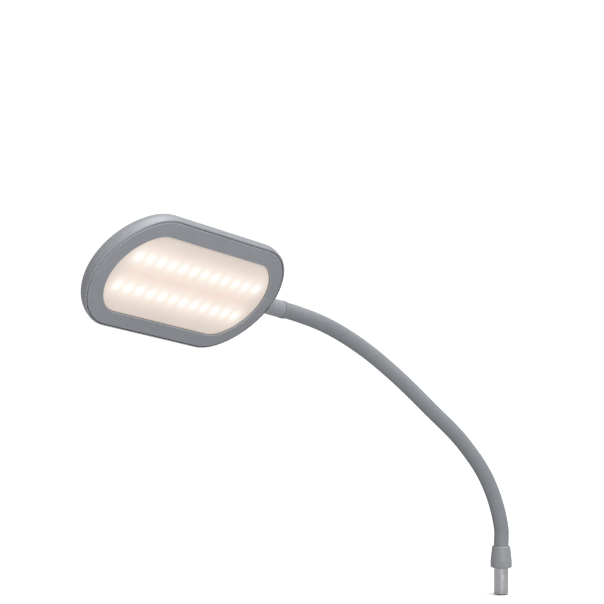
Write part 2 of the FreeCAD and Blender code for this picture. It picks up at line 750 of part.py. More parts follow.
def makeSwivel():
    makeTurned("swivel_washer", onSwivel(), [
        ("0", "pivot_radius + pivot_play"),
        ("0", BARREL_RADIUS + " - washer_inset"),
        ("washer_thickness", BARREL_RADIUS + " - washer_inset"),
        ("washer_thickness", "pivot_radius + pivot_play"),
    ])
    makeTurned("swivel_bush", onSwivel(), [
        (BUSH_START, "pivot_radius + pivot_play"),
        (BUSH_START, BARREL_RADIUS + " - barrel_lead"),
        (BUSH_START + " + barrel_lead", BARREL_RADIUS),
        (BUSH_SHOULDER + " - barrel_bevel", BARREL_RADIUS),
        (BUSH_SHOULDER, BARREL_RADIUS + " - barrel_bevel"),
        (BUSH_SHOULDER, BUSH_RADIUS),
        (BUSH_END, BUSH_RADIUS),
        (BUSH_END, "pivot_radius + pivot_play"),
    ])


# Neck links. Link 0 is the straight foot of the neck, fixed in the ferrule.

def makeNeck():
    nodes = neckNodes()
    foot = Vector(0, 0, size["ferrule_height"])
    foot_length = (nodes[0] - foot).Length
    foot_place = framePlacement(foot, nodes[0] - foot)
    core = "sleeve_bore - sleeve_fit"
    makeLinkTube("neck_sleeve_0", foot_place, foot_length, "neck_radius", "sleeve_bore",
                 start="flat", reach=size["sleeve_seat"])
    makeLinkTube("neck_core_0", foot_place, foot_length, core, "core_bore", start="flat")
    lead_reach = value("ferrule_height + spigot_length - inlet_length - lead_end_gap")
    makeLinkTube("neck_lead_0", foot_place, foot_length, "lead_radius", None,
                 start="flat", reach=lead_reach)
    links = neckLinks()
    for number, (place, length) in enumerate(links, 1):
        if number < len(links):
            makeLinkTube(f"neck_sleeve_{number}", place, length, "neck_radius", "sleeve_bore")
            makeLinkTube(f"neck_core_{number}", place, length, core, "core_bore")
            makeLinkTube(f"neck_lead_{number}", place, length, "lead_radius", None)
        else:
            makeLastSleeve(f"neck_sleeve_{number}", place, length)
            makeLinkTube(f"neck_core_{number}", place, length - size["fitting_grip"], core,
                         "core_bore", end="flat")
            makeLinkTube(f"neck_lead_{number}", place, length + size["pivot_length"],
                         "lead_radius", None, end="flat")


# The last link's sleeve ends in the thick collar that meets the swivel
def makeLastSleeve(name, place, length):
    body = makeLinkTube(name, place, length, "neck_radius", "sleeve_bore", end="flat")
    sketch = newSketch(body, name + "_flare")
    sketch.AttachmentOffset = Placement(Vector(length, 0, 0), Rotation())
    addPolygon(sketch, [
        ("- flare_length - flare_taper", "sleeve_bore"),
        ("- flare_length - flare_taper", "neck_radius"),
        ("- flare_length", FLARE_RADIUS),
        ("- flare_edge", FLARE_RADIUS),
        ("0", FLARE_RADIUS + " - flare_edge"),
        ("0", "sleeve_bore"),
    ])
    flare = body.newObject("PartDesign::Revolution", name + "_flare_turn")
    flare.Profile = sketch
    flare.ReferenceAxis = (sketch, ["H_Axis"])
    flare.Angle = 360


# Head casing

def mirrored(measure):
    return measure, negated(measure)


def headPosts():
    along = mirrored("window_half_length - post_end_inset") + ("0",)
    return [(x, y) for x in along for y in mirrored("window_half_width + post_inset")]


def boardPosts():
    return [(x, y) for x in mirrored(BOARD_HALF_LENGTH + " - board_screw_end")
            for y in mirrored("board_half_width - board_screw_side")]


def addCircles(sketch, spots, radius):
    for x, y in spots:
        addCircle(sketch, x, y, radius)


def makeCover():
    body = newBody("rear_cover", inHead())
    outline = newSketch(body, "cover_outline", RIM)
    addOutline(outline, "bezel_width + rim_width")
    addPad(body, outline, "cover_height")
    cavity = newSketch(body, "cover_cavity", RIM)
    addOutline(cavity, "bezel_width + rim_width - cover_wall")
    hollow = addPocket(body, cavity, "cover_height - cover_back")
    shell = addEdgeWork(body, "Fillet", hollow, value(CAVITY_TOP), "cavity_round")
    rounded = addEdgeWork(body, "Fillet", shell, value(BACK), "cover_round")
    addRimRound(body, rounded)
    rebate = newSketch(body, "cover_rebate", RIM)
    addOutline(rebate, "bezel_width")
    addPocket(body, rebate, "bezel_thickness - rim_setback")
    posts = newSketch(body, "cover_posts", POST_FOOT)
    addCircles(posts, headPosts(), "post_radius")
    addPad(body, posts, between(POST_FOOT, CAVITY_TOP) + " - post_sink")
    inner = newSketch(body, "cover_board_posts", SPREADER_BACK)
    addCircles(inner, boardPosts(), "post_radius")
    addPad(body, inner, between(SPREADER_BACK, CAVITY_TOP) + " + cover_back*0.5")
    addBoss(body)
    return body


# Rounds the rim's outer edge, and leaves the edge of the cavity sharp
def addRimRound(body, feature):
    doc.recompute()
    shape = feature.Shape.copy()
    shape.Placement = Placement()
    rim = [face for face in shape.Faces if face.BoundBox.ZMax < value(RIM) + LEVEL_TOLERANCE]
    outside = rim[0].OuterWire.Edges
    names = [f"Edge{number}" for number, edge in enumerate(shape.Edges, 1)
             if any(edge.isSame(other) for other in outside)]
    work = body.newObject("PartDesign::Fillet", "cover_rim_fillet")
    work.Base = (feature, names)
    work.setExpression("Radius", bound("rim_round"))


# Boss for the swivel bush, and every hole through the cover
def addBoss(body):
    outer_end = "- window_half_length - bezel_width - boss_length"
    boss = newSketch(body, "cover_boss", outer_end, plane="YZ_Plane")
    addCircle(boss, "0", "0", BARREL_RADIUS)
    addPad(body, boss, "boss_length")
    bore = newSketch(body, "cover_bore", outer_end, plane="YZ_Plane")
    addCircle(bore, "0", "0", BUSH_RADIUS)
    addPocket(body, bore, between(BUSH_SHOULDER, "pivot_length"))
    screws = newSketch(body, "cover_screw_holes", BEZEL_BACK)
    addCircles(screws, headPosts(), "screw_hole")
    addPocket(body, screws, "cover_height")
    sinks = newSketch(body, "cover_screw_sinks", "screw_seat")
    addCircles(sinks, headPosts(), "screw_sink")
    addPocket(body, sinks, "cover_height")
    pilots = newSketch(body, "cover_board_pilots", SPREADER_BACK)
    addCircles(pilots, boardPosts(), "screw_pilot")
    addPocket(body, pilots, "board_screw_length - board_thickness - spreader_thickness"
                            " - tray_sheet")
    opening = newSketch(body, "cover_button_hole", BOARD_FACE)
    addCircle(opening, DRIVER_X, "0", "button_radius + button_play")
    addPocket(body, opening, "cover_height")


def makeBezel():
    body = newBody("front_bezel", inHead())
    ring = newSketch(body, "bezel_ring", FACE)
    addOutline(ring, "bezel_width - seam_gap")
    addOutline(ring, "0")
    plate = addPad(body, ring, "bezel_thickness")
    addEdgeWork(body, "Chamfer", plate, value(FACE), "bezel_bevel")
    posts = newSketch(body, "bezel_posts", BEZEL_BACK)
    addCircles(posts, headPosts(), "post_radius")
    addPad(body, posts, "bezel_post")
    pilots = newSketch(body, "bezel_pilots", BEZEL_BACK)
    addCircles(pilots, headPosts(), "screw_pilot")
    addPocket(body, pilots, "bezel_post")
    return body


def makeDiffuser():
    flange_face = BEZEL_BACK + " + gasket_thickness"
    body = newBody("diffuser", inHead())
    panel = newSketch(body, "diffuser_panel", FACE + " + diffuser_recess")
    addOutline(panel, "- diffuser_gap")
    addPad(body, panel, "bezel_thickness - diffuser_recess + gasket_thickness + flange_thickness")
    flange = newSketch(body, "diffuser_flange", flange_face)
    addOutline(flange, "flange_width")
    addPad(body, flange, "flange_thickness")
    return body


def makeGasket():
    return makeOutlinePlate("diffuser_gasket", inHead(level=BEZEL_BACK), "flange_width",
                            "gasket_thickness", inner="flange_width - gasket_width")


def makeHeadScrews():
    body = newBody("head_screws", inHead())
    tips = BEZEL_BACK + " + screw_end_gap"
    shanks = newSketch(body, "head_screw_shanks", tips)
    addCircles(shanks, headPosts(), "screw_radius")
    addPad(body, shanks, between(tips, "screw_seat"))
    heads = newSketch(body, "head_screw_heads", "screw_seat")
    addCircles(heads, headPosts(), "screw_head_radius")
    addPad(body, heads, "screw_head_height")
    floor = "screw_seat + screw_head_height - screw_socket_depth"
    sockets = newSketch(body, "head_screw_sockets", floor)
    addCircles(sockets, headPosts(), "screw_socket")
    addPocket(body, sockets, "screw_socket_depth")
    return body


# Light engine

# Copies a feature over the grid of emitters
def addEmitterGrid(body, feature, sketch):
    grid = body.newObject("PartDesign::LinearPattern", feature.Name + "_grid")
    grid.Originals = [feature]
    grid.Direction = (sketch, ["H_Axis"])
    grid.Occurrences = int(size["led_columns"])
    grid.setExpression("Length", bound("window_half_length*2 - led_end_inset*2"))
    grid.Direction2 = (sketch, ["V_Axis"])
    grid.Occurrences2 = 2
    grid.setExpression("Length2", bound("led_row_gap"))
    body.Tip = grid
    return grid


def firstEmitter():
    return "- window_half_length + led_end_inset", "- led_row_gap*0.5"


def makeEmitters():
    body = newBody("led_emitters", inHead())
    sketch = newSketch(body, "first_emitter", BOARD_FACE + " - led_height")
    x, y = firstEmitter()
    addBox(sketch, x, y, "led_size*0.5", "led_size*0.5")
    addEmitterGrid(body, addPad(body, sketch, "led_height"), sketch)
    return body


def makeTray():
    body = newBody("reflector_tray", inHead())
    floor = newSketch(body, "tray_floor", TRAY_FACE)
    addOutline(floor, "tray_margin")
    addPad(body, floor, "tray_sheet")
    wall_foot = BEZEL_BACK + " + gasket_thickness + flange_thickness + tray_gap"
    wall = newSketch(body, "tray_wall", wall_foot)
    addOutline(wall, "tray_margin")
    addOutline(wall, "tray_margin - tray_wall")
    addPad(body, wall, between(wall_foot, TRAY_FACE) + " + tray_sheet*0.5")
    hole = newSketch(body, "tray_emitter_hole", TRAY_FACE)
    x, y = firstEmitter()
    addBox(hole, x, y, "led_window*0.5", "led_window*0.5")
    addEmitterGrid(body, addPocket(body, hole, "tray_sheet"), hole)
    screws = newSketch(body, "tray_screw_holes", TRAY_FACE)
    addCircles(screws, boardPosts(), "screw_hole")
    addPocket(body, screws, "tray_sheet")
    notch = newSketch(body, "tray_lead_notch", FACE)
    addBox(notch, "- window_half_length - tray_margin", "0", "lead_notch_length",
           "lead_notch_width*0.5")
    addPocket(body, notch, between(FACE, BOARD_FACE))
    return body


def makeBoardPlate(name, level, thickness, margin):
    body = newBody(name, inHead(level=level))
    sketch = newSketch(body, name + "_plate")
    addBox(sketch, "0", "0", BOARD_HALF_LENGTH + margin, "board_half_width" + margin)
    addPad(body, sketch, thickness)
    screws = newSketch(body, name + "_screw_holes")
    addCircles(screws, boardPosts(), "screw_hole")
    addPocket(body, screws, thickness)
    return body


def addConnectorSlot(body, depth):
    slot = newSketch(body, body.Name + "_slot")
    addBox(slot, DRIVER_X + " + connector_x", "- connector_y",
           "connector_half_length + connector_play", "connector_half_width + connector_play")
    addPocket(body, slot, depth)


def makeSpreader():
    body = makeBoardPlate("heat_spreader", BOARD_BACK, "spreader_thickness", " + spreader_margin")
    addConnectorSlot(body, "spreader_thickness")
    return body


def makeBoardScrews():
    body = newBody("board_screws", inHead())
    heads = newSketch(body, "board_screw_heads", TRAY_FACE + " - board_screw_head_height")
    addCircles(heads, boardPosts(), "board_screw_head")
    addPad(body, heads, "board_screw_head_height")
    shanks = newSketch(body, "board_screw_shanks", TRAY_FACE)
    addCircles(shanks, boardPosts(), "screw_radius")
    addPad(body, shanks, "board_screw_length")
    return body


# Driver and switch

def makeDriverPlate(name, level, thickness):
    body = newBody(name, inHead(level=level))
    sketch = newSketch(body, name + "_plate")
    addBox(sketch, DRIVER_X, "0", "driver_half_length", "driver_half_width")
    addPad(body, sketch, thickness)
    return body


def makeConnector():
    body = newBody("board_connector", inHead(level=BOARD_BACK))
    sketch = newSketch(body, "connector_block")
    addBox(sketch, DRIVER_X + " + connector_x", "- connector_y", "connector_half_length",
           "connector_half_width")
    addPad(body, sketch, "spreader_thickness + pad_thickness")
    return body


def makeDriverParts():
    coil = newBody("driver_choke", inHead(level=DRIVER_BACK))
    coil_x = DRIVER_X + " + coil_x"
    core = newSketch(coil, "choke_core")
    addCircle(core, coil_x, "coil_y", "coil_waist")
    addPad(coil, core, "coil_height")
    for name, level in (("choke_foot", None), ("choke_cap", "coil_height - coil_flange")):
        flange = newSketch(coil, name, level)
        addCircle(flange, coil_x, "coil_y", "coil_radius")
        addPad(coil, flange, "coil_flange")
    cans = newBody("driver_capacitors", inHead(level=DRIVER_BACK))
    outline = newSketch(cans, "capacitor_cans")
    addCircles(outline, [(DRIVER_X + " - capacitor_x", y) for y in mirrored("capacitor_y")],
               "capacitor_radius")
    addPad(cans, outline, "capacitor_height")
    switch = newBody("button_switch", inHead(level=DRIVER_BACK))
    case = newSketch(switch, "switch_case")
    addCircle(case, DRIVER_X, "0", "switch_radius")
    top = FLANGE_TOP + " - button_flange_height - button_travel - switch_gap"
    addPad(switch, case, between(DRIVER_BACK, top))


def makeButton():
    top = BACK + " + button_proud"
    body = newBody("push_button", inHead())
    flange = newSketch(body, "button_flange", FLANGE_TOP + " - button_flange_height")
    addCircle(flange, DRIVER_X, "0", "button_radius + button_flange")
    addPad(body, flange, "button_flange_height")
    cap = newSketch(body, "button_cap", FLANGE_TOP)
    addCircle(cap, DRIVER_X, "0", "button_radius")
    raised = addPad(body, cap, between(FLANGE_TOP, top))
    addEdgeWork(body, "Fillet", raised, value(top), "button_dish")
    dish = newSketch(body, "button_dish", top + " - button_dish")
    addCircle(dish, DRIVER_X, "0", "button_radius - dish_margin")
    addPocket(body, dish, "button_dish")
    return body


def makeSpring():
    body = newBody("button_spring", inHead(DRIVER_X, DRIVER_BACK + " + spring_wire + spring_gap"))
    wire = newSketch(body, "spring_wire_section", plane="XZ_Plane")
    addCircle(wire, "spring_radius", "0", "spring_wire")
    coil = body.newObject("PartDesign::AdditiveHelix", "spring_coil")
    coil.Profile = wire
    coil.ReferenceAxis = (wire, ["V_Axis"])
    coil.Mode = "height-turns-angle"
    height = (between(DRIVER_BACK, FLANGE_TOP)
              + " - button_flange_height - spring_wire*2 - spring_gap*2")
    coil.setExpression("Height", bound(height))
    coil.setExpression("Turns", bound("spring_turns"))
    return body


# The lead inside the head: it leaves the pivot, steps up past the tray and ends on the driver
def makeHeadLead():
    bend = size["head_lead_bend"]
    rise = value(DRIVER_BACK + " + head_lead_radius + head_lead_lift")
    turn = math.acos(1 - rise / (2 * bend))
    start = value("pivot_length + head_lead_gap")
    foot = start + size["head_lead_start"]
    middle = foot + bend * math.sin(turn)
    top = foot + 2 * bend * math.sin(turn)
    end = headCentre() + value(DRIVER_X + " - driver_half_length + head_lead_landing")
    across = bend * math.sin(turn / 2)
    up = bend * (1 - math.cos(turn / 2))
    edges = [Part.LineSegment(Vector(start, 0, 0), Vector(foot, 0, 0)),
             Part.Arc(Vector(foot, 0, 0), Vector(foot + across, 0, up),
                      Vector(middle, 0, rise / 2)),
             Part.Arc(Vector(middle, 0, rise / 2), Vector(top - across, 0, rise - up),
                      Vector(top, 0, rise)),
             Part.LineSegment(Vector(top, 0, rise), Vector(end, 0, rise))]
    path = Part.Wire([edge.toShape() for edge in edges])
    circle = Part.makeCircle(size["head_lead_radius"], Vector(start, 0, 0), Vector(1, 0, 0))
    lead = doc.addObject("Part::Feature", "head_lead")
    lead.Label = "head_lead"
    lead.Shape = path.makePipeShell([Part.Wire(circle)], True, False)
    lead.Placement = onSwivel()


def makeLamp():
    makeSheet()
    makeSpigot()
    makeFerrule()
    makeGrubScrews()
    makeInlet()
    makeLowerFitting()
    makeNeck()
    makeUpperFitting()
    makeClip()
    makeSwivel()
    makeCover()
    makeBezel()
    makeDiffuser()
    makeGasket()
    makeHeadScrews()
    makeEmitters()
    makeTray()
    makeBoardPlate("led_board", BOARD_FACE, "board_thickness", "")
    makeSpreader()
    makeBoardScrews()
    addConnectorSlot(makeDriverPlate("insulation_pad", SPREADER_BACK, "pad_thickness"),
                     "pad_thickness")
    makeDriverPlate("driver_board", DRIVER_FACE, "driver_thickness")
    makeConnector()
    makeDriverParts()
    makeButton()
    makeSpring()
    makeHeadLead()
    doc.recompute()


def checkAndWrite():
    for item in doc.Objects:
        if "Invalid" in item.State or "Error" in item.State:
            raise RuntimeError(f"{item.Name} ({item.Label}) is {item.State}")
    pieces = [item for item in doc.Objects
              if item.TypeId in ("PartDesign::Body", "Part::Feature")]
    os.makedirs("parts", exist_ok=True)
    for piece in pieces:
        shape = piece.Shape
        if shape.isNull() or not shape.isValid() or not shape.Solids:
            raise RuntimeError(f"{piece.Label} has no valid solid")
    for piece in pieces:
        piece.Shape.exportStep(f"parts/{piece.Label}.step")
        print(f"{piece.Label}: {len(piece.Shape.Solids)} solid(s), {piece.Shape.Volume:.1f} mm3")
    print(f"{len(pieces)} pieces")


makeLamp()
checkAndWrite()
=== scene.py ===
import bmesh
import bpy
import json
import math
from mathutils import Matrix, Vector


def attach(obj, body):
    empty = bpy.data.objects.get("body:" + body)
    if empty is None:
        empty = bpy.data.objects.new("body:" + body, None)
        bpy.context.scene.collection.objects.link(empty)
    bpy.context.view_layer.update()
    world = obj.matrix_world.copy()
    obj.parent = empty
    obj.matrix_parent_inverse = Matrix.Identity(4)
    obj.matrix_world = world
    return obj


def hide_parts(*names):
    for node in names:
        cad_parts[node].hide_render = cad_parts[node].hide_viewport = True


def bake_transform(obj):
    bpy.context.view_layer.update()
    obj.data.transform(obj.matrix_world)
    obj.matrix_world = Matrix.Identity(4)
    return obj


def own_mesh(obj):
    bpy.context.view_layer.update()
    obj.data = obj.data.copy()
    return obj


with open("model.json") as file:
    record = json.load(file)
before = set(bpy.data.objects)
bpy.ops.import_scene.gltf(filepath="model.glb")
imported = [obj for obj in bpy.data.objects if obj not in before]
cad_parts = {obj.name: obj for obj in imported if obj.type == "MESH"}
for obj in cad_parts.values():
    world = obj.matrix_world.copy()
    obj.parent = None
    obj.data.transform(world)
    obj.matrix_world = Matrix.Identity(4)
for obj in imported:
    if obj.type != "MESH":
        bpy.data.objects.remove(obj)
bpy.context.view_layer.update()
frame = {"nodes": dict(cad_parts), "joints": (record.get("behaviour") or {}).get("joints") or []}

# Examination lamp: flat light head, smooth bendable neck and a mounting foot.
# Sizes in the dictionaries below are millimetres unless they say otherwise.
nodes = frame["nodes"]
joints = {joint["name"]: joint for joint in frame["joints"]}
mm = 0.001


# Frame of the head: x along it, y across it, z out of its back

def placeFrom(origin, x, y, z):
    place = Matrix((x, y, z)).transposed().to_4x4()
    place.translation = origin
    return place


headAlong = Vector(joints["head_swivel"]["axis"]).normalized()
headBack = -Vector(joints["button_press"]["axis"]).normalized()
headBack = (headBack - headAlong * headBack.dot(headAlong)).normalized()
headAcross = headBack.cross(headAlong)
swivelCentre = Vector(joints["head_swivel"]["pos_m"])
swivelPlace = placeFrom(swivelCentre, headAlong, headAcross, headBack)
headMiddle = 150.1  # from the swivel to the middle of the window
headPlace = swivelPlace @ Matrix.Translation((headMiddle * mm, 0, 0))


# Camera

camera = dict(lens=107.28, sensor=36, aimLevel=-7.5, right=(-0.60638, 0.79518, 0.0),
              towards=(1.2976, 1.1245, -0.01365))  # metres from the head's middle
cameraData = bpy.data.cameras.new("camera")
cameraData.lens = camera["lens"]
cameraData.sensor_width = camera["sensor"]
cameraObject = bpy.data.objects.new("camera", cameraData)
bpy.context.scene.collection.objects.link(cameraObject)
right = Vector(camera["right"]).normalized()
up = Vector((0, 0, 1))
aim = headPlace @ Vector((0, 0, camera["aimLevel"] * mm))
cameraObject.matrix_world = placeFrom(aim + Vector(camera["towards"]), right, up, right.cross(up))
bpy.context.scene.camera = cameraObject


# Node helpers

def newGroup(name, inputs, outputs):
    group = bpy.data.node_groups.new(name, "ShaderNodeTree")
    for label, kind, value in inputs:
        socket = group.interface.new_socket(label, in_out="INPUT", socket_type=kind)
        if value is not None:
            socket.default_value = value
    for label, kind in outputs:
        group.interface.new_socket(label, in_out="OUTPUT", socket_type=kind)
    start = group.nodes.new("NodeGroupInput")
    end = group.nodes.new("NodeGroupOutput")
    return group, start, end


def addNode(tree, kind, links=(), **settings):
    node = tree.nodes.new(kind)
    for name, value in settings.items():
        setattr(node, name, value)
    for socket, source in dict(links).items():
        target = node.inputs[socket]
        if isinstance(source, bpy.types.NodeSocket):
            tree.links.new(source, target)
        else:
            target.default_value = source
    return node


def reckon(tree, operation, a, b=0.0, clamp=False):
    node = addNode(tree, "ShaderNodeMath", {0: a, 1: b}, operation=operation, use_clamp=clamp)
    return node.outputs[0]


def ramp(tree, value, low, high, outLow=0.0, outHigh=1.0, smooth=True):
    node = addNode(tree, "ShaderNodeMapRange", {"Value": value, "From Min": low, "From Max": high,
                                                "To Min": outLow, "To Max": outHigh},
                   interpolation_type="SMOOTHSTEP" if smooth else "LINEAR")
    return node.outputs["Result"]


def mixColour(tree, amount, a, b):
    node = addNode(tree, "ShaderNodeMix", data_type="RGBA")
    for index, source in ((0, amount), (6, a), (7, b)):
        if isinstance(source, bpy.types.NodeSocket):
            tree.links.new(source, node.inputs[index])
        elif index == 0:
            node.inputs[index].default_value = source
        else:
            node.inputs[index].default_value = (*source, 1.0)
    return node.outputs[2]


def noise(tree, vector, scale, detail=2.0, roughness=0.5):
    node = addNode(tree, "ShaderNodeTexNoise", {"Vector": vector, "Scale": scale,
                                                "Detail": detail, "Roughness": roughness})
    return node.outputs["Fac"]


# Fine spark-eroded grain of moulded plastic and rubber
mouldGrain = dict(fineDetail=(2.0, 0.55), fineShare=0.6, pitShare=0.4, pitEdge=(0.15, 0.75),
                  broadScale=38.0, broadDetail=(3.0, 0.6), broadShare=0.7, speckShare=0.3,
                  toneEdge=(0.3, 0.7))


def makeGrain():
    group, start, end = newGroup("mouldGrain", [
        ("Vector", "NodeSocketVector", None), ("Scale", "NodeSocketFloat", 2600.0),
        ("Depth", "NodeSocketFloat", 1.0)],
        [("Height", "NodeSocketFloat"), ("Tone", "NodeSocketFloat")])
    fine = noise(group, start.outputs["Vector"], start.outputs["Scale"],
                 *mouldGrain["fineDetail"])
    cells = addNode(group, "ShaderNodeTexVoronoi",
                    {"Vector": start.outputs["Vector"], "Scale": start.outputs["Scale"]},
                    feature="SMOOTH_F1")
    pits = ramp(group, cells.outputs["Distance"], *mouldGrain["pitEdge"])
    height = reckon(group, "ADD", reckon(group, "MULTIPLY", fine, mouldGrain["fineShare"]),
                    reckon(group, "MULTIPLY", pits, mouldGrain["pitShare"]))
    group.links.new(reckon(group, "MULTIPLY", height, start.outputs["Depth"]),
                    end.inputs["Height"])
    broad = noise(group, start.outputs["Vector"], mouldGrain["broadScale"],
                  *mouldGrain["broadDetail"])
    tone = reckon(group, "ADD", reckon(group, "MULTIPLY", broad, mouldGrain["broadShare"]),
                  reckon(group, "MULTIPLY", fine, mouldGrain["speckShare"]))
    group.links.new(ramp(group, tone, *mouldGrain["toneEdge"]), end.inputs["Tone"])
    return group


# Light dust that settles on upward faces, and the fingermarks that break up the gloss
settledDust = dict(upward=(0.1, 0.9), speckScale=900.0, speckDetail=(4.0, 0.7),
                   speckEdge=(0.5, 0.72), speckShare=0.45, veilScale=55.0,
                   veilDetail=(3.0, 0.6), veilEdge=(0.3, 0.75), veilShare=0.55,
                   smearScale=90.0, smearDetail=3.0, smearTwist=1.4, smearEdge=(0.42, 0.68))


def makeDust():
    group, start, end = newGroup("dustAndHandling", [
        ("Vector", "NodeSocketVector", None), ("Normal", "NodeSocketVector", None),
        ("Dust", "NodeSocketFloat", 0.2), ("Marks", "NodeSocketFloat", 0.3)],
        [("Dust", "NodeSocketFloat"), ("Marks", "NodeSocketFloat")])
    facing = addNode(group, "ShaderNodeSeparateXYZ", {0: start.outputs["Normal"]}).outputs["Z"]
    upward = ramp(group, facing, *settledDust["upward"])
    where = start.outputs["Vector"]
    speck = noise(group, where, settledDust["speckScale"], *settledDust["speckDetail"])
    speck = ramp(group, speck, *settledDust["speckEdge"])
    veil = noise(group, where, settledDust["veilScale"], *settledDust["veilDetail"])
    veil = ramp(group, veil, *settledDust["veilEdge"])
    lying = reckon(group, "ADD", reckon(group, "MULTIPLY", speck, settledDust["speckShare"]),
                   reckon(group, "MULTIPLY", veil, settledDust["veilShare"]))
    settled = reckon(group, "MULTIPLY", upward, lying)
    group.links.new(reckon(group, "MULTIPLY", settled, start.outputs["Dust"], True),
                    end.inputs["Dust"])
    smear = addNode(group, "ShaderNodeTexNoise", {
        "Vector": where, "Scale": settledDust["smearScale"],
        "Detail": settledDust["smearDetail"], "Distortion": settledDust["smearTwist"]})
    marks = ramp(group, smear.outputs["Fac"], *settledDust["smearEdge"])
    group.links.new(reckon(group, "MULTIPLY", marks, start.outputs["Marks"], True),
                    end.inputs["Marks"])
    return group


# Edges painted paler where a rounded normal leaves the true one: rubbed wear, and where the amount
# is high a painted highlight
rubbedAndHighlitEdge = dict(samples=4, turned=(0.995, 0.86), patchScale=420.0, patchDetail=(3.0, 0.65),
                  patchEdge=(0.25, 0.7), leastPatch=0.35)


def makeWearAndHighlight():
    group, start, end = newGroup("edgeWearAndHighlight", [
        ("Vector", "NodeSocketVector", None), ("Normal", "NodeSocketVector", None),
        ("Width", "NodeSocketFloat", 0.0005), ("Amount", "NodeSocketFloat", 0.3)],
        [("Wear And Highlight", "NodeSocketFloat")])
    bevel = addNode(group, "ShaderNodeBevel", {"Radius": start.outputs["Width"]},
                    samples=rubbedAndHighlitEdge["samples"])
    dot = addNode(group, "ShaderNodeVectorMath", {0: bevel.outputs[0], 1: start.outputs["Normal"]},
                  operation="DOT_PRODUCT").outputs["Value"]
    edge = ramp(group, dot, *rubbedAndHighlitEdge["turned"])
    patches = noise(group, start.outputs["Vector"], rubbedAndHighlitEdge["patchScale"],
                    *rubbedAndHighlitEdge["patchDetail"])
    broken = ramp(group, patches, *rubbedAndHighlitEdge["patchEdge"], rubbedAndHighlitEdge["leastPatch"], 1.0)
    wornAndHighlit = reckon(group, "MULTIPLY", edge, broken)
    group.links.new(reckon(group, "MULTIPLY", wornAndHighlit, start.outputs["Amount"], True),
                    end.inputs["Wear And Highlight"])
    return group


# Painted shade: narrow gaps darkened by an occlusion test, broken into patches
gapShade = dict(samples=8, hidden=(0.62, 0.25), patchScale=300.0, patchDetail=(3.0, 0.6),
                patchEdge=(0.2, 0.7), leastPatch=0.8, reach=2.2, colour=(0.03, 0.03, 0.034))


def makePaintedGapShade():
    group, start, end = newGroup("creviceShade", [
        ("Vector", "NodeSocketVector", None), ("Reach", "NodeSocketFloat", 0.002),
        ("Amount", "NodeSocketFloat", 0.8)],
        [("Shade", "NodeSocketFloat")])
    hidden = addNode(group, "ShaderNodeAmbientOcclusion", {"Distance": start.outputs["Reach"]},
                     samples=gapShade["samples"]).outputs["AO"]
    deep = ramp(group, hidden, *gapShade["hidden"])
    patches = noise(group, start.outputs["Vector"], gapShade["patchScale"],
                    *gapShade["patchDetail"])
    broken = ramp(group, patches, *gapShade["patchEdge"], gapShade["leastPatch"], 1.0)
    shade = reckon(group, "MULTIPLY", deep, broken)
    group.links.new(reckon(group, "MULTIPLY", shade, start.outputs["Amount"], True),
                    end.inputs["Shade"])
    return group


# Tool marks of turned or rolled metal: noise drawn out one way
drawnMarks = dict(scale=260.0, lineDetail=(4.0, 0.7), lineShare=0.55, stainScale=120.0,
                  stainDetail=(3.0, 0.6), stainShare=0.45, toneEdge=(0.3, 0.7),
                  edgeWidth=0.3, dust=0.1, marks=0.4, markGloss=0.15)


def makeBrushed():
    group, start, end = newGroup("toolMarks", [
        ("Vector", "NodeSocketVector", None), ("Fineness", "NodeSocketFloat", 1.0),
        ("Stretch", "NodeSocketVector", (1.0, 1.0, 24.0))],
        [("Height", "NodeSocketFloat"), ("Tone", "NodeSocketFloat")])
    stretched = addNode(group, "ShaderNodeVectorMath",
                        {0: start.outputs["Vector"], 1: start.outputs["Stretch"]},
                        operation="MULTIPLY").outputs[0]
    scale = reckon(group, "MULTIPLY", start.outputs["Fineness"], drawnMarks["scale"])
    lines = noise(group, stretched, scale, *drawnMarks["lineDetail"])
    group.links.new(lines, end.inputs["Height"])
    stain = noise(group, start.outputs["Vector"], drawnMarks["stainScale"],
                  *drawnMarks["stainDetail"])
    tone = reckon(group, "ADD", reckon(group, "MULTIPLY", lines, drawnMarks["lineShare"]),
                  reckon(group, "MULTIPLY", stain, drawnMarks["stainShare"]))
    group.links.new(ramp(group, tone, *drawnMarks["toneEdge"]), end.inputs["Tone"])
    return group


grainGroup, dustGroup, wearAndHighlightGroup = makeGrain(), makeDust(), makeWearAndHighlight()
paintedGapShadeGroup, brushedGroup = makePaintedGapShade(), makeBrushed()


def newMaterial(name):
    material = bpy.data.materials.new(name)
    material.use_nodes = True
    tree = material.node_tree
    tree.nodes.clear()
    output = tree.nodes.new("ShaderNodeOutputMaterial")
    shader = tree.nodes.new("ShaderNodeBsdfPrincipled")
    tree.links.new(shader.outputs[0], output.inputs["Surface"])
    where = tree.nodes.new("ShaderNodeTexCoord").outputs["Object"]
    facing = tree.nodes.new("ShaderNodeNewGeometry").outputs["Normal"]
    return material, tree, shader, where, facing


def useGroup(tree, group, links):
    node = addNode(tree, "ShaderNodeGroup", node_tree=group)
    for socket, source in links.items():
        if isinstance(source, bpy.types.NodeSocket):
            tree.links.new(source, node.inputs[socket])
        else:
            node.inputs[socket].default_value = source
    return node.outputs


def addBump(tree, shader, height, depth):
    bump = addNode(tree, "ShaderNodeBump", {"Height": height, "Distance": depth * mm})
    tree.links.new(bump.outputs["Normal"], shader.inputs["Normal"])


# Moulded plastics, rubbers, boards and the like
mouldedLook = dict(dustColour=(0.62, 0.61, 0.59), markGloss=0.12, dustMatt=0.3, specular=0.5)


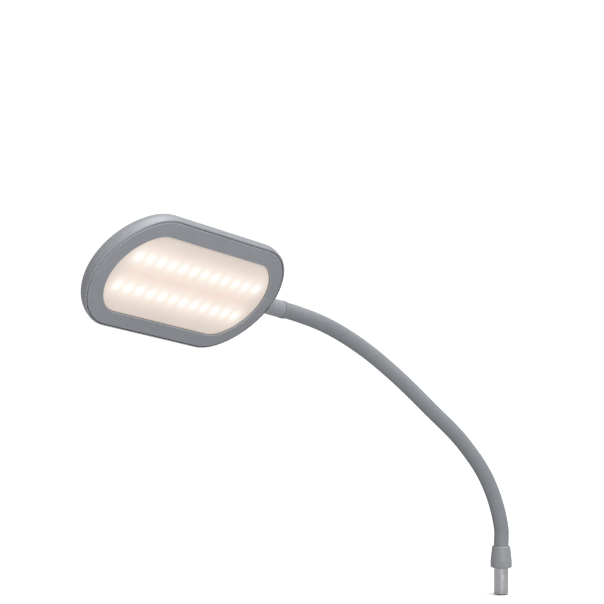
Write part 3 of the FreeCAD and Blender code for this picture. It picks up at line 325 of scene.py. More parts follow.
def makeMoulded(name, finish):
    material, tree, shader, where, facing = newMaterial(name)
    grain = useGroup(tree, grainGroup, {"Vector": where, "Scale": finish["grain"]})
    dust = useGroup(tree, dustGroup, {"Vector": where, "Normal": facing, "Dust": finish["dust"],
                                      "Marks": finish["marks"]})
    wear = useGroup(tree, wearAndHighlightGroup, {"Vector": where, "Normal": facing,
                                      "Width": finish["wearAndHighlightWidth"] * mm,
                                      "Amount": finish["wear"]})
    colour = mixColour(tree, grain["Tone"], finish["deep"], finish["pale"])
    # Paler edges: wear, and on the casing a painted highlight
    colour = mixColour(tree, wear["Wear And Highlight"], colour, finish["wornAndHighlit"])
    colour = mixColour(tree, dust["Dust"], colour, mouldedLook["dustColour"])
    # Painted shade: the colour darkens in narrow gaps, such as the seam round the bezel
    if finish.get("paintedGapShade"):
        paintedGapShade = useGroup(tree, paintedGapShadeGroup, {
            "Vector": where, "Reach": gapShade["reach"] * mm, "Amount": finish["paintedGapShade"]})
        colour = mixColour(tree, paintedGapShade["Shade"], colour, gapShade["colour"])
    tree.links.new(colour, shader.inputs["Base Color"])
    rough = ramp(tree, grain["Tone"], 0.0, 1.0, *finish["rough"])
    polished = reckon(tree, "MULTIPLY", dust["Marks"], mouldedLook["markGloss"])
    matted = reckon(tree, "MULTIPLY", dust["Dust"], mouldedLook["dustMatt"])
    rough = reckon(tree, "SUBTRACT", rough, polished)
    rough = reckon(tree, "ADD", rough, matted, True)
    tree.links.new(rough, shader.inputs["Roughness"])
    specular = finish.get("specular", mouldedLook["specular"])
    shader.inputs["Specular IOR Level"].default_value = specular
    addBump(tree, shader, grain["Height"], finish["depth"])
    return material


# Turned, rolled and drawn metals
def makeMetal(name, finish):
    material, tree, shader, where, facing = newMaterial(name)
    marks = useGroup(tree, brushedGroup, {"Vector": where, "Fineness": finish["fineness"],
                                          "Stretch": finish["stretch"]})
    wear = useGroup(tree, wearAndHighlightGroup, {
        "Vector": where, "Normal": facing, "Width": drawnMarks["edgeWidth"] * mm,
        "Amount": finish["wear"]})
    dust = useGroup(tree, dustGroup, {
        "Vector": where, "Normal": facing, "Dust": drawnMarks["dust"],
        "Marks": drawnMarks["marks"]})
    colour = mixColour(tree, marks["Tone"], finish["deep"], finish["pale"])
    colour = mixColour(tree, wear["Wear And Highlight"], colour, finish["wornAndHighlit"])
    tree.links.new(colour, shader.inputs["Base Color"])
    shader.inputs["Metallic"].default_value = 1.0
    rough = ramp(tree, marks["Tone"], 0.0, 1.0, *finish["rough"])
    smears = reckon(tree, "MULTIPLY", dust["Marks"], drawnMarks["markGloss"])
    rough = reckon(tree, "ADD", rough, smears, True)
    tree.links.new(rough, shader.inputs["Roughness"])
    addBump(tree, shader, marks["Height"], finish["depth"])
    return material


# Finishes, by the record's slots

mouldedFinishes = {
    # The casing's edges are painted pale, a painted highlight along them with a little wear; its
    # gaps get painted shade
    "casing": dict(deep=(0.222, 0.232, 0.252), pale=(0.250, 0.260, 0.280), wornAndHighlit=(0.62, 0.63, 0.65),
                   rough=(0.36, 0.46), grain=2600.0, depth=0.012, dust=0.05, marks=0.3,
                   wear=0.95, wearAndHighlightWidth=0.8, paintedGapShade=0.95),
    "sleeve": dict(deep=(0.192, 0.203, 0.218), pale=(0.218, 0.229, 0.243), wornAndHighlit=(0.33, 0.34, 0.36),
                   rough=(0.55, 0.68), grain=3200.0, depth=0.014, dust=0.10, marks=0.2,
                   wear=0.1, wearAndHighlightWidth=0.4, specular=0.4),
    # The ferrule's gaps get painted shade
    "ferrule": dict(deep=(0.222, 0.232, 0.250), pale=(0.250, 0.260, 0.278), wornAndHighlit=(0.5, 0.5, 0.52),
                    rough=(0.38, 0.48), grain=2600.0, depth=0.010, dust=0.05, marks=0.3,
                    wear=0.4, wearAndHighlightWidth=0.4, paintedGapShade=0.9),
    "lead": dict(deep=(0.025, 0.025, 0.027), pale=(0.045, 0.045, 0.048), wornAndHighlit=(0.12, 0.12, 0.12),
                 rough=(0.45, 0.6), grain=2400.0, depth=0.015, dust=0.05, marks=0.3,
                 wear=0.1, wearAndHighlightWidth=0.2),
    "white_reflector": dict(deep=(0.80, 0.80, 0.79), pale=(0.88, 0.88, 0.87),
                            wornAndHighlit=(0.93, 0.93, 0.92), rough=(0.5, 0.65), grain=1800.0, depth=0.006,
                            dust=0.03, marks=0.1, wear=0.2, wearAndHighlightWidth=0.3),
    "board_white": dict(deep=(0.74, 0.75, 0.74), pale=(0.82, 0.83, 0.82), wornAndHighlit=(0.62, 0.56, 0.40),
                        rough=(0.28, 0.4), grain=1200.0, depth=0.005, dust=0.03, marks=0.2,
                        wear=0.5, wearAndHighlightWidth=0.25),
    "board_green": dict(deep=(0.012, 0.115, 0.040), pale=(0.022, 0.165, 0.060),
                        wornAndHighlit=(0.35, 0.33, 0.15), rough=(0.25, 0.38), grain=1300.0, depth=0.008,
                        dust=0.05, marks=0.2, wear=0.5, wearAndHighlightWidth=0.25),
    "black_plastic": dict(deep=(0.014, 0.014, 0.015), pale=(0.026, 0.026, 0.028),
                          wornAndHighlit=(0.10, 0.10, 0.10), rough=(0.4, 0.55), grain=2200.0, depth=0.012,
                          dust=0.05, marks=0.3, wear=0.4, wearAndHighlightWidth=0.3),
    "pad": dict(deep=(0.40, 0.42, 0.46), pale=(0.50, 0.52, 0.56), wornAndHighlit=(0.58, 0.6, 0.62),
                rough=(0.6, 0.75), grain=900.0, depth=0.03, dust=0.03, marks=0.1,
                wear=0.2, wearAndHighlightWidth=0.3),
    "connector": dict(deep=(0.70, 0.67, 0.58), pale=(0.80, 0.77, 0.68), wornAndHighlit=(0.88, 0.86, 0.8),
                      rough=(0.4, 0.5), grain=2200.0, depth=0.008, dust=0.03, marks=0.2,
                      wear=0.3, wearAndHighlightWidth=0.2),
    "button": dict(deep=(0.175, 0.182, 0.196), pale=(0.205, 0.212, 0.226), wornAndHighlit=(0.36, 0.37, 0.38),
                   rough=(0.42, 0.55), grain=3000.0, depth=0.012, dust=0.04, marks=0.5,
                   wear=0.5, wearAndHighlightWidth=0.4),
    "gasket": dict(deep=(0.60, 0.60, 0.58), pale=(0.70, 0.70, 0.68), wornAndHighlit=(0.75, 0.75, 0.73),
                   rough=(0.65, 0.8), grain=1500.0, depth=0.03, dust=0.03, marks=0.1,
                   wear=0.1, wearAndHighlightWidth=0.2),
    "nylon": dict(deep=(0.085, 0.087, 0.09), pale=(0.115, 0.117, 0.12), wornAndHighlit=(0.2, 0.2, 0.2),
                  rough=(0.45, 0.55), grain=2000.0, depth=0.01, dust=0.03, marks=0.2,
                  wear=0.3, wearAndHighlightWidth=0.2),
}
metalFinishes = {
    "steel": dict(deep=(0.50, 0.50, 0.51), pale=(0.66, 0.66, 0.67), wornAndHighlit=(0.8, 0.8, 0.8),
                  rough=(0.24, 0.40), fineness=1.0, stretch=(1.0, 1.0, 24.0), depth=0.01,
                  wear=0.4),
    "brass": dict(deep=(0.60, 0.43, 0.17), pale=(0.76, 0.57, 0.26), wornAndHighlit=(0.88, 0.72, 0.40),
                  rough=(0.22, 0.38), fineness=1.2, stretch=(1.0, 1.0, 20.0), depth=0.008,
                  wear=0.4),
    "aluminium": dict(deep=(0.62, 0.63, 0.64), pale=(0.78, 0.79, 0.80), wornAndHighlit=(0.88, 0.88, 0.88),
                      rough=(0.3, 0.45), fineness=1.0, stretch=(2.0, 18.0, 2.0), depth=0.01,
                      wear=0.3),
}
finishes = {}
for make, kinds in ((makeMoulded, mouldedFinishes), (makeMetal, metalFinishes)):
    for name, finish in kinds.items():
        finishes[name] = make(name + "Finish", finish)


# The emitters: yellow phosphor, lit
phosphor = dict(grain=4000.0, depth=0.01, deep=(0.78, 0.60, 0.20), pale=(0.90, 0.76, 0.38),
                strength=1.5, rough=0.35)


def makeEmitterFinish():
    material, tree, shader, where, _ = newMaterial("emitterFinish")
    grain = useGroup(tree, grainGroup, {"Vector": where, "Scale": phosphor["grain"]})
    colour = mixColour(tree, grain["Tone"], phosphor["deep"], phosphor["pale"])
    tree.links.new(colour, shader.inputs["Base Color"])
    tree.links.new(colour, shader.inputs["Emission Color"])
    shader.inputs["Emission Strength"].default_value = phosphor["strength"]
    shader.inputs["Roughness"].default_value = phosphor["rough"]
    addBump(tree, shader, grain["Height"], phosphor["depth"])
    return material


# The opal window: each emitter shows as a soft white spot on a warm glow
glow = dict(pitch=15.6, lastSpot=5.5, row=17.45, spotRadius=3.1, haloRadius=7.0, rowSpread=8.5,
            endFade=(78.0, 106.0), sideFade=(18.0, 46.0), strength=1.0, bandShare=0.75,
            haloShare=0.3, grain=1500.0, grainDepth=0.008, marks=0.3, rough=(0.42, 0.34),
            body=((0.29, 0.287, 0.282), (0.33, 0.327, 0.322)),
            edgeColour=(0.42, 0.34, 0.285), middleColour=(0.59, 0.43, 0.33),
            rowColour=(0.66, 0.57, 0.49), spotColour=(0.86, 0.85, 0.80))


def makeGlowGroup():
    group, start, end = newGroup("emitterGlow", [
        ("Vector", "NodeSocketVector", None), ("Pitch", "NodeSocketFloat", 0.0156),
        ("Last Spot", "NodeSocketFloat", 5.5), ("Row", "NodeSocketFloat", 0.01745),
        ("Spot Radius", "NodeSocketFloat", 0.004), ("Halo Radius", "NodeSocketFloat", 0.009),
        ("Row Spread", "NodeSocketFloat", 0.013)],
        [("Spot", "NodeSocketFloat"), ("Halo", "NodeSocketFloat"), ("Band", "NodeSocketFloat")])
    parts = addNode(group, "ShaderNodeSeparateXYZ", {0: start.outputs["Vector"]}).outputs
    steps = reckon(group, "DIVIDE", parts["X"], start.outputs["Pitch"])
    nearest = reckon(group, "ADD", reckon(group, "FLOOR", steps), 0.5)
    nearest = reckon(group, "MINIMUM", nearest, start.outputs["Last Spot"])
    nearest = reckon(group, "MAXIMUM", nearest,
                     reckon(group, "MULTIPLY", start.outputs["Last Spot"], -1.0))
    alongAway = reckon(group, "MULTIPLY", reckon(group, "SUBTRACT", steps, nearest),
                       start.outputs["Pitch"])
    acrossAway = reckon(group, "SUBTRACT", reckon(group, "ABSOLUTE", parts["Y"]),
                        start.outputs["Row"])
    away = reckon(group, "ADD", reckon(group, "MULTIPLY", alongAway, alongAway),
                  reckon(group, "MULTIPLY", acrossAway, acrossAway))

    def bell(squared, radius):
        spread = reckon(group, "MULTIPLY", reckon(group, "MULTIPLY", radius, radius), -2.0)
        return reckon(group, "EXPONENT", reckon(group, "DIVIDE", squared, spread))

    group.links.new(bell(away, start.outputs["Spot Radius"]), end.inputs["Spot"])
    group.links.new(bell(away, start.outputs["Halo Radius"]), end.inputs["Halo"])
    squared = reckon(group, "MULTIPLY", acrossAway, acrossAway)
    group.links.new(bell(squared, start.outputs["Row Spread"]), end.inputs["Band"])
    return group


def makeOpal():
    material, tree, shader, where, facing = newMaterial("opalFinish")
    where = addNode(tree, "ShaderNodeMapping", {
        "Vector": where, "Location": headPlace.translation, "Rotation": headPlace.to_euler()},
        vector_type="TEXTURE").outputs["Vector"]
    spots = useGroup(tree, makeGlowGroup(), {
        "Vector": where, "Pitch": glow["pitch"] * mm, "Last Spot": glow["lastSpot"],
        "Row": glow["row"] * mm, "Spot Radius": glow["spotRadius"] * mm,
        "Halo Radius": glow["haloRadius"] * mm, "Row Spread": glow["rowSpread"] * mm})
    grain = useGroup(tree, grainGroup, {"Vector": where, "Scale": glow["grain"]})
    dust = useGroup(tree, dustGroup, {"Vector": where, "Normal": facing, "Dust": 0.0,
                                      "Marks": glow["marks"]})
    parts = addNode(tree, "ShaderNodeSeparateXYZ", {0: where}).outputs
    along, across = (reckon(tree, "ABSOLUTE", parts[name]) for name in ("X", "Y"))
    lit = ramp(tree, along, glow["endFade"][0] * mm, glow["endFade"][1] * mm, 1.0, 0.0)
    inner = ramp(tree, across, glow["sideFade"][0] * mm, glow["sideFade"][1] * mm, 1.0, 0.0)
    band = reckon(tree, "MULTIPLY", spots["Band"], lit)
    colour = mixColour(tree, reckon(tree, "MULTIPLY", lit, inner), glow["edgeColour"],
                       glow["middleColour"])
    colour = mixColour(tree, reckon(tree, "MULTIPLY", band, glow["bandShare"]), colour,
                       glow["rowColour"])
    colour = mixColour(tree, reckon(tree, "MULTIPLY", spots["Halo"], glow["haloShare"]),
                       colour, glow["spotColour"])
    colour = mixColour(tree, spots["Spot"], colour, glow["spotColour"])
    tree.links.new(colour, shader.inputs["Emission Color"])
    shader.inputs["Emission Strength"].default_value = glow["strength"]
    body = mixColour(tree, grain["Tone"], *glow["body"])
    tree.links.new(body, shader.inputs["Base Color"])
    rough = ramp(tree, dust["Marks"], 0.0, glow["marks"], *glow["rough"])
    tree.links.new(rough, shader.inputs["Roughness"])
    addBump(tree, shader, grain["Height"], glow["grainDepth"])
    return material


finishes["emitter"] = makeEmitterFinish()
finishes["opal"] = makeOpal()
for node in nodes.values():
    for place in node.material_slots:
        place.material = finishes[place.material.name.split(".")[0]]
print("finishes made:", len(finishes))


# Mesh helpers

def newPiece(name, bm, place, slotName, body, *replaced):
    bmesh.ops.recalc_face_normals(bm, faces=bm.faces)
    mesh = bpy.data.meshes.new(name)
    bm.to_mesh(mesh)
    bm.free()
    mesh.transform(place)
    for face in mesh.polygons:
        face.use_smooth = True
    piece = bpy.data.objects.new(name, mesh)
    bpy.context.scene.collection.objects.link(piece)
    mesh.materials.append(finishes[slotName])
    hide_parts(*replaced)
    if body:
        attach(piece, body)
    return piece


# Keeps wide flat faces flat beside their small rounds
def flattenFaces(piece):
    modifier = piece.modifiers.new("faceNormals", "WEIGHTED_NORMAL")
    modifier.keep_sharp = True
    modifier.weight = 100
    return piece


# A closed profile of (a, b, radius) corners, rounded in steps
def roundCorners(corners, steps=6):
    points = []
    for place, (a, b, radius) in enumerate(corners):
        here = Vector((a, b))
        before = Vector(corners[place - 1][:2]) - here
        after = Vector(corners[(place + 1) % len(corners)][:2]) - here
        if radius <= 0:
            points.append(here)
            continue
        before.normalize()
        after.normalize()
        half = math.acos(max(-1, min(1, before.dot(after)))) / 2
        reach = radius / math.tan(half)
        centre = here + (before + after).normalized() * (radius / math.sin(half))
        first = here + before * reach - centre
        last = here + after * reach - centre
        swing = first.angle_signed(last)
        for step in range(steps + 1):
            turn = Matrix.Rotation(-swing * step / steps, 2)
            points.append(centre + turn @ first)
    return points


def bridgeRings(bm, rings, closed=True):
    count = len(rings[0])
    pairs = list(zip(rings, rings[1:]))
    if closed:
        pairs.append((rings[-1], rings[0]))
    for low, high in pairs:
        for place in range(count):
            follower = (place + 1) % count
            bm.faces.new((low[place], low[follower], high[follower], high[place]))


# Turned about the local X axis from a closed (station, radius) profile in millimetres
def addTurned(bm, profile, sides=96, x=0.0, y=0.0, axis="X"):
    rings = []
    for station, radius in profile:
        ring = []
        for side in range(sides):
            angle = 2 * math.pi * side / sides
            a, b = radius * math.cos(angle), radius * math.sin(angle)
            spot = (station, a, b) if axis == "X" else (x + a, y + b, station)
            ring.append(bm.verts.new(Vector(spot) * mm))
        rings.append(ring)
    bridgeRings(bm, rings)


# Head outline: two straight sides, a wide arc at each end, tighter arcs at the corners

outline = dict(halfLength=105.7, halfWidth=46.1, corner=31.8, crown=2.6, cornerSteps=20,
               endSteps=26, sideSteps=24)


def outlineRays():
    end = outline["halfWidth"] + outline["crown"]
    endCentre = outline["halfLength"] - end
    rise = outline["halfWidth"] - outline["corner"]
    run = math.sqrt((end - outline["corner"]) ** 2 - rise ** 2)
    turn = math.atan2(rise, run)
    quarter = math.pi / 2
    rays = []

    def addArc(x, y, radius, start, stop, steps):
        for step in range(steps):
            angle = start + (stop - start) * step / steps
            rays.append((x, y, math.cos(angle), math.sin(angle), radius))

    for flip in (1, -1):
        reach = endCentre + run
        turned = 0 if flip > 0 else math.pi
        addArc(flip * endCentre, 0, end, turned - turn, turned + turn, outline["endSteps"])
        addArc(flip * reach, flip * rise, outline["corner"], turned + turn, turned + quarter,
               outline["cornerSteps"])
        for step in range(outline["sideSteps"]):
            x = flip * reach * (1 - 2 * step / outline["sideSteps"])
            rays.append((x, 0, 0, flip, outline["halfWidth"]))
        addArc(-flip * reach, flip * rise, outline["corner"], turned + quarter,
               turned + 2 * quarter - turn, outline["cornerSteps"])
    return rays


rays = outlineRays()


def addLoft(bm, profile, closed=True):
    rings = []
    for offset, level in profile:
        rings.append([bm.verts.new(Vector((x + nx * (radius + offset), y + ny * (radius + offset),
                                           level)) * mm) for x, y, nx, ny, radius in rays])
    bridgeRings(bm, rings, closed)
    return rings


# Front bezel: a crowned ring with softened edges, on six screw posts

bezel = dict(inner=-8.9, face=-7.5, back=-5.3, outer=15.75, bevel=0.8, innerRound=0.45,
             bevelRound=0.2, backRound=0.2, post=3.25, pilot=1.5, pilotRound=0.2,
             postRound=0.3, postTop=-1.0, postX=66.0, postY=55.6, postSides=32, roundSteps=4,
             weld=0.2)
bm = bmesh.new()
addLoft(bm, roundCorners([(0.0, bezel["inner"], bezel["innerRound"]),
                          (0.0, bezel["back"], bezel["backRound"]),
                          (bezel["outer"], bezel["back"], bezel["backRound"]),
                          (bezel["outer"], bezel["face"] + bezel["bevel"], bezel["bevelRound"]),
                          (bezel["outer"] - bezel["bevel"], bezel["face"], bezel["bevelRound"])]))
for x in (-bezel["postX"], 0, bezel["postX"]):
    for y in (-bezel["postY"], bezel["postY"]):
        post = [(bezel["back"] - bezel["weld"], bezel["pilot"], 0),
                (bezel["postTop"], bezel["pilot"], bezel["pilotRound"]),
                (bezel["postTop"], bezel["post"], bezel["postRound"]),
                (bezel["back"] - bezel["weld"], bezel["post"], 0)]
        addTurned(bm, roundCorners(post, bezel["roundSteps"]), bezel["postSides"], x, y, "Z")
flattenFaces(newPiece("bezel_ring", bm, headPlace, "casing", "head", "front_bezel"))


# Opal window: a plate that steps out to a flange behind the bezel

window = dict(face=-6.9, flangeFace=-4.5, back=-2.9, inner=-0.3, flange=3.5, edgeRound=0.35,
              stepRound=0.15, flangeRound=0.3, fillInset=9.0)
bm = bmesh.new()
filled = window["inner"] - window["fillInset"]
profile = roundCorners([(filled, window["face"], 0),
                        (window["inner"], window["face"], window["edgeRound"]),
                        (window["inner"], window["flangeFace"], window["stepRound"]),
                        (window["flange"], window["flangeFace"], window["flangeRound"]),
                        (window["flange"], window["back"], window["flangeRound"]),
                        (filled, window["back"], 0)])
rings = addLoft(bm, [(filled, window["face"])] + profile[1:], closed=False)
bm.faces.new(rings[0])
bm.faces.new(reversed(rings[-1]))
flattenFaces(newPiece("opal_window", bm, headPlace, "opal", "head", "diffuser"))
print("head front made")


# Swivel barrel and push button

barrel = dict(start=1.1, shoulder=17.4, end=28.1, radius=8.75, shank=6.2, bore=4.06,
              outerRound=0.7, shoulderRound=0.35, shankRound=0.1, endRound=0.3, boreRound=0.2)
bm = bmesh.new()
addTurned(bm, roundCorners([
    (barrel["start"], barrel["bore"], barrel["boreRound"]),
    (barrel["start"], barrel["radius"], barrel["outerRound"]),
    (barrel["shoulder"], barrel["radius"], barrel["shoulderRound"]),
    (barrel["shoulder"], barrel["shank"], barrel["shankRound"]),
    (barrel["end"], barrel["shank"], barrel["endRound"]),
    (barrel["end"], barrel["bore"], barrel["boreRound"])]))
flattenFaces(newPiece("swivel_barrel", bm, swivelPlace, "ferrule", "head", "swivel_bush"))

button = dict(middle=-70.0, flangeFoot=8.05, flangeTop=8.95, top=12.9, radius=7.0, flange=8.4,
              flangeRound=0.2, stepRound=0.15, edgeRound=0.9, dishRadius=5.2, dishDepth=0.5,
              dishRound=0.25, dishSteps=8, dishFill=0.97, axisRadius=0.01, sides=72)
bm = bmesh.new()
foot, top, dish = button["flangeFoot"], button["top"], button["dishRadius"]
profile = roundCorners([(foot, button["axisRadius"], 0),
                        (foot, button["flange"], button["flangeRound"]),
                        (button["flangeTop"], button["flange"], button["flangeRound"]),
                        (button["flangeTop"], button["radius"], button["stepRound"]),
                        (top, button["radius"], button["edgeRound"]),
                        (top, dish, button["dishRound"])])
for step in range(button["dishSteps"] + 1):
    share = 1 - step / button["dishSteps"]
    sunk = button["dishDepth"] * (1 - share ** 2)
    reach = max(dish * share * button["dishFill"], button["axisRadius"])
    profile.append(Vector((top - sunk, reach)))
addTurned(bm, profile, button["sides"], 0, 0, "Z")
buttonPlace = headPlace @ Matrix.Translation((button["middle"] * mm, 0, 0))
flattenFaces(newPiece("button_cap", bm, buttonPlace, "button", "button", "push_button"))

# The button's coil spring; the real one closes up as the button goes down, this coil stays fixed
# on the head
spring = dict(foot=6.36, top=7.99, radius=5.0, wire=0.24, turns=2.2, steps=96, sides=10,
              keep=0.42)
bm = bmesh.new()
rings = []
climb = spring["top"] - spring["foot"] - 2 * spring["wire"]
for step in range(spring["steps"] + 1):
    share = step / spring["steps"]
    turn = 2 * math.pi * spring["turns"] * share
    level = spring["foot"] + spring["wire"] + climb * share
    ring = []
    for side in range(spring["sides"]):
        angle = 2 * math.pi * side / spring["sides"]
        reach = spring["radius"] + spring["wire"] * math.cos(angle)
        ring.append(bm.verts.new(Vector((reach * math.cos(turn), reach * math.sin(turn),
                                         level + spring["wire"] * math.sin(angle))) * mm))
    rings.append(ring)
bridgeRings(bm, rings, closed=False)
bm.faces.new(rings[0])
bm.faces.new(reversed(rings[-1]))
coil = newPiece("spring_coil", bm, buttonPlace, "steel", "head", "button_spring")
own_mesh(coil)
print("swivel and button made")


# Neck: one smooth line through the joints

neck = dict(mouth=24.0, seat=14.0, lastSeam=12.0, linkSteps=32, leastSteps=8, stiffEnd=2.0,
            radius=8.25, bore=5.62, sides=56, flareRadius=9.1, flareStart=10.0, flareFull=3.0,
            flareRound=0.8, flarePitch=0.2, hoseGap=0.22, hoseBore=2.9, hosePitch=2.6,
            hoseRib=0.35, hoseEnd=20.2, hoseStep=0.65, hoseSides=32, leadRadius=2.2,
            leadBore=0.6, leadSides=20, leadDrop=24.5, leadReach=33.0)
bends = [joint for name, joint in joints.items() if name.startswith("neck_")]
linkPoints = [Vector((0, 0, neck["mouth"] * mm))]
linkPoints += [Vector(joint["pos_m"]) for joint in bends]
linkPoints.append(swivelCentre)
linkCount = len(linkPoints) - 1
directions = [Vector((0, 0, 1))]
for before, here, after in zip(linkPoints, linkPoints[1:], linkPoints[2:]):
    directions.append(((here - before).normalized() + (after - here).normalized()).normalized())
directions.append(headAlong)


# Where the line is at a place counted in links, and which way it runs
def neckPlace(place):
    link = min(max(int(place), 0), linkCount - 1)
    share = place - link
    start, stop = linkPoints[link], linkPoints[link + 1]
    length = (stop - start).length
    if share < 0:
        return start + directions[0] * (share * length), directions[0]
    a, b = directions[link] * length, directions[link + 1] * length
    squared, cubed = share * share, share ** 3
    point = (start * (2 * cubed - 3 * squared + 1) + a * (cubed - 2 * squared + share)
             + stop * (3 * squared - 2 * cubed) + b * (cubed - squared))
    slope = (start * (6 * squared - 6 * share) + a * (3 * squared - 4 * share + 1)
             + stop * (6 * share - 6 * squared) + b * (3 * squared - 2 * share))
    return point, slope.normalized()


firstPlace = -neck["seat"] / ((linkPoints[1] - linkPoints[0]).length / mm)
lastSeam = linkCount - neck["lastSeam"] / ((linkPoints[-1] - linkPoints[-2]).length / mm)
seams = [firstPlace] + [link + 0.5 for link in range(1, linkCount - 1)] + [lastSeam, linkCount]
stations = []
for start, stop in zip(seams, seams[1:]):
    steps = max(neck["leastSteps"], round((stop - start) * neck["linkSteps"]))
    stations.append([start + (stop - start) * step / steps for step in range(steps + 1)])


# Frames carried along the line without twist, shared by neighbouring pieces at their seams
def neckFrames():
    side = Vector((1, 0, 0))
    frames, walked, last = [], 0.0, None
    for places in stations:
        row = []
        for place in places:
            point, along = neckPlace(place)
            side = (side - along * side.dot(along)).normalized()
            walked += (point - last).length if last is not None else 0.0
            last = point
            row.append((point, along, side.copy(), walked))
        frames.append(row)
    return frames


frames = neckFrames()
neckLength = frames[-1][-1][3]


def addTube(bm, row, outerAt, innerRadius, sides):
    outer, inner = [], []
    for point, along, side, walked in row:
        other = along.cross(side)
        turns = [2 * math.pi * n / sides for n in range(sides)]
        spokes = [side * math.cos(turn) + other * math.sin(turn) for turn in turns]
        radius = outerAt(walked)
        outer.append([bm.verts.new(point + spoke * (radius * mm)) for spoke in spokes])
        inner.append([bm.verts.new(point + spoke * (innerRadius * mm)) for spoke in spokes])
    bridgeRings(bm, outer + inner[::-1])
    bm.normal_update()
    for ring in (outer[0], outer[-1], inner[0], inner[-1]):
        for place, vert in enumerate(ring):
            bm.edges.get((vert, ring[(place + 1) % sides])).smooth = False


def smoothStep(value):
    value = min(max(value, 0.0), 1.0)
    return value * value * (3 - 2 * value)


def sleeveRadius(walked):
    fromEnd = (neckLength - walked) / mm
    grow = smoothStep((neck["flareStart"] - fromEnd) / (neck["flareStart"] - neck["flareFull"]))
    radius = neck["radius"] + (neck["flareRadius"] - neck["radius"]) * grow
    if fromEnd < neck["flareRound"]:
        across = 1 - fromEnd / neck["flareRound"]
        radius -= neck["flareRound"] * (1 - math.sqrt(max(0.0, 1 - across * across)))
    return radius


def hoseRadius(walked):
    turn = walked / (neck["hosePitch"] * mm)
    rib = neck["hoseRib"] * (1 - abs(math.cos(math.pi * turn)))
    return neck["bore"] - neck["hoseGap"] - rib


def leadRadius(walked):
    return neck["leadRadius"]


# Each piece runs from the middle of one link to the middle of the next; the last is attached to
# its link, the others are only baked in place
def bendPiece(piece, body, child):
    if child:
        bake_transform(piece)
    else:
        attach(piece, body)


# More frames between those of a row, none further apart than the pitch
def refine(row, pitch):
    fine = []
    for first, second in zip(row, row[1:]):
        cuts = max(1, math.ceil((second[3] - first[3]) / pitch))
        for cut in range(cuts):
            share = cut / cuts
            along = first[1].lerp(second[1], share).normalized()
            side = first[2].lerp(second[2], share)
            side = (side - along * side.dot(along)).normalized()
            fine.append((first[0].lerp(second[0], share), along, side,
                         first[3] + (second[3] - first[3]) * share))
    return fine + [row[-1]]


# A frame moved straight on along its own direction
def slide(station, distance):
    point, along, side, walked = station
    return point + along * (distance * mm), along, side, walked + distance * mm


for number, row in enumerate(frames):
    body = "foot" if number == 0 else f"link_{number}"
    child = f"link_{number + 1}" if number < linkCount - 1 else None
    for kind, slotName, outerAt, innerRadius, sides in (
            ("sleeve", "sleeve", sleeveRadius, neck["bore"], neck["sides"]),
            ("core", "steel", hoseRadius, neck["hoseBore"], neck["hoseSides"]),
            ("lead", "lead", leadRadius, neck["leadBore"], neck["leadSides"])):
        bm = bmesh.new()
        used = row
        if kind == "core":
            used = [station for station in refine(row, neck["hoseStep"] * mm)
                    if neck["seat"] * mm < station[3] < neckLength - neck["hoseEnd"] * mm]
        if kind == "lead" and number == 0:
            used = [slide(row[0], -neck["leadDrop"])] + row
        if kind == "lead" and child is None:
            used = row + [slide(row[-1], neck["leadReach"])]
        if kind == "sleeve" and child is None:
            used = refine(row, neck["flarePitch"] * mm)
        if len(used) > 1:
            addTube(bm, used, outerAt, innerRadius, sides)
            piece = newPiece(f"neck_{kind}_smooth_{number}", bm, Matrix(), slotName, None,
                             f"neck_{kind}_{number}")
            bendPiece(piece, body, child)
        else:
            bm.free()
print("neck made, length", round(neckLength, 4), "m")


# Pale floor and soft light

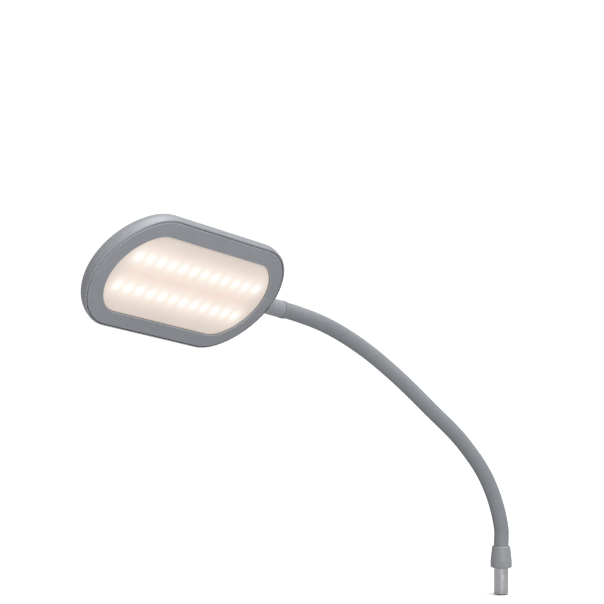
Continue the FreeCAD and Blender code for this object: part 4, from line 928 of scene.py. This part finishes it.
floor = dict(level=-0.0306, middle=(0.2, -0.05), radius=9.0,  # metres
             rings=10, sides=96, toneScale=3.0, deep=(0.88, 0.88, 0.88),
             pale=(0.92, 0.92, 0.92), unseen=(0.40, 0.40, 0.41), rough=0.9)
bm = bmesh.new()
centre = bm.verts.new((0, 0, 0))
before = None
for ring in range(1, floor["rings"] + 1):
    reach = floor["radius"] * (ring / floor["rings"]) ** 2
    turns = [2 * math.pi * n / floor["sides"] for n in range(floor["sides"])]
    verts = [bm.verts.new((reach * math.cos(turn), reach * math.sin(turn), 0)) for turn in turns]
    for n in range(floor["sides"]):
        follower = (n + 1) % floor["sides"]
        if before is None:
            bm.faces.new((centre, verts[n], verts[follower]))
        else:
            bm.faces.new((before[n], verts[n], verts[follower], before[follower]))
    before = verts
mesh = bpy.data.meshes.new("studio_floor")
bm.to_mesh(mesh)
bm.free()
floorObject = bpy.data.objects.new("studio_floor", mesh)
floorObject.location = (*floor["middle"], floor["level"])
bpy.context.scene.collection.objects.link(floorObject)
material, tree, shader, where, _ = newMaterial("floorFinish")
paper = mixColour(tree, noise(tree, where, floor["toneScale"]), floor["deep"], floor["pale"])
seen = tree.nodes.new("ShaderNodeLightPath").outputs["Is Camera Ray"]
tree.links.new(mixColour(tree, seen, floor["unseen"], paper), shader.inputs["Base Color"])
shader.inputs["Roughness"].default_value = floor["rough"]
shader.inputs["Specular IOR Level"].default_value = 0.0
mesh.materials.append(material)

# A white backdrop behind a dimmer surround that lights the lamp
studio = dict(backdrop=1.1, surround=0.45, target=(0.3, -0.08, 0.28))  # target in metres
world = bpy.data.worlds.new("studio")
bpy.context.scene.world = world
world.use_nodes = True
tree = world.node_tree
backdrop = tree.nodes["Background"]
backdrop.inputs["Color"].default_value = (1.0, 1.0, 1.0, 1.0)
seen = tree.nodes.new("ShaderNodeLightPath").outputs["Is Camera Ray"]
tree.links.new(ramp(tree, seen, 0.0, 1.0, studio["surround"], studio["backdrop"], False),
               backdrop.inputs["Strength"])

# Places and sizes in metres, spread in degrees
lamps = [
    dict(name="ceiling", kind="SUN", at=(0.0, 0.35, 2.0), spread=55.0, power=2.9,
         colour=(0.985, 0.992, 1.0)),
    dict(name="front", kind="AREA", at=(1.5, 1.5, 0.95), size=1.2, power=30.0,
         colour=(1.0, 0.995, 0.98)),
]
for lamp in lamps:
    data = bpy.data.lights.new(lamp["name"], lamp["kind"])
    data.energy = lamp["power"]
    data.color = lamp["colour"]
    if lamp["kind"] == "SUN":
        data.angle = math.radians(lamp["spread"])
    else:
        data.shape = "DISK"
        data.size = lamp["size"]
    light = bpy.data.objects.new(lamp["name"], data)
    light.location = lamp["at"]
    towards = Vector(studio["target"]) - light.location
    light.rotation_euler = towards.to_track_quat("-Z", "Y").to_euler()
    bpy.context.scene.collection.objects.link(light)
bpy.context.scene.view_settings.view_transform = "Standard"
print("floor and lights made")
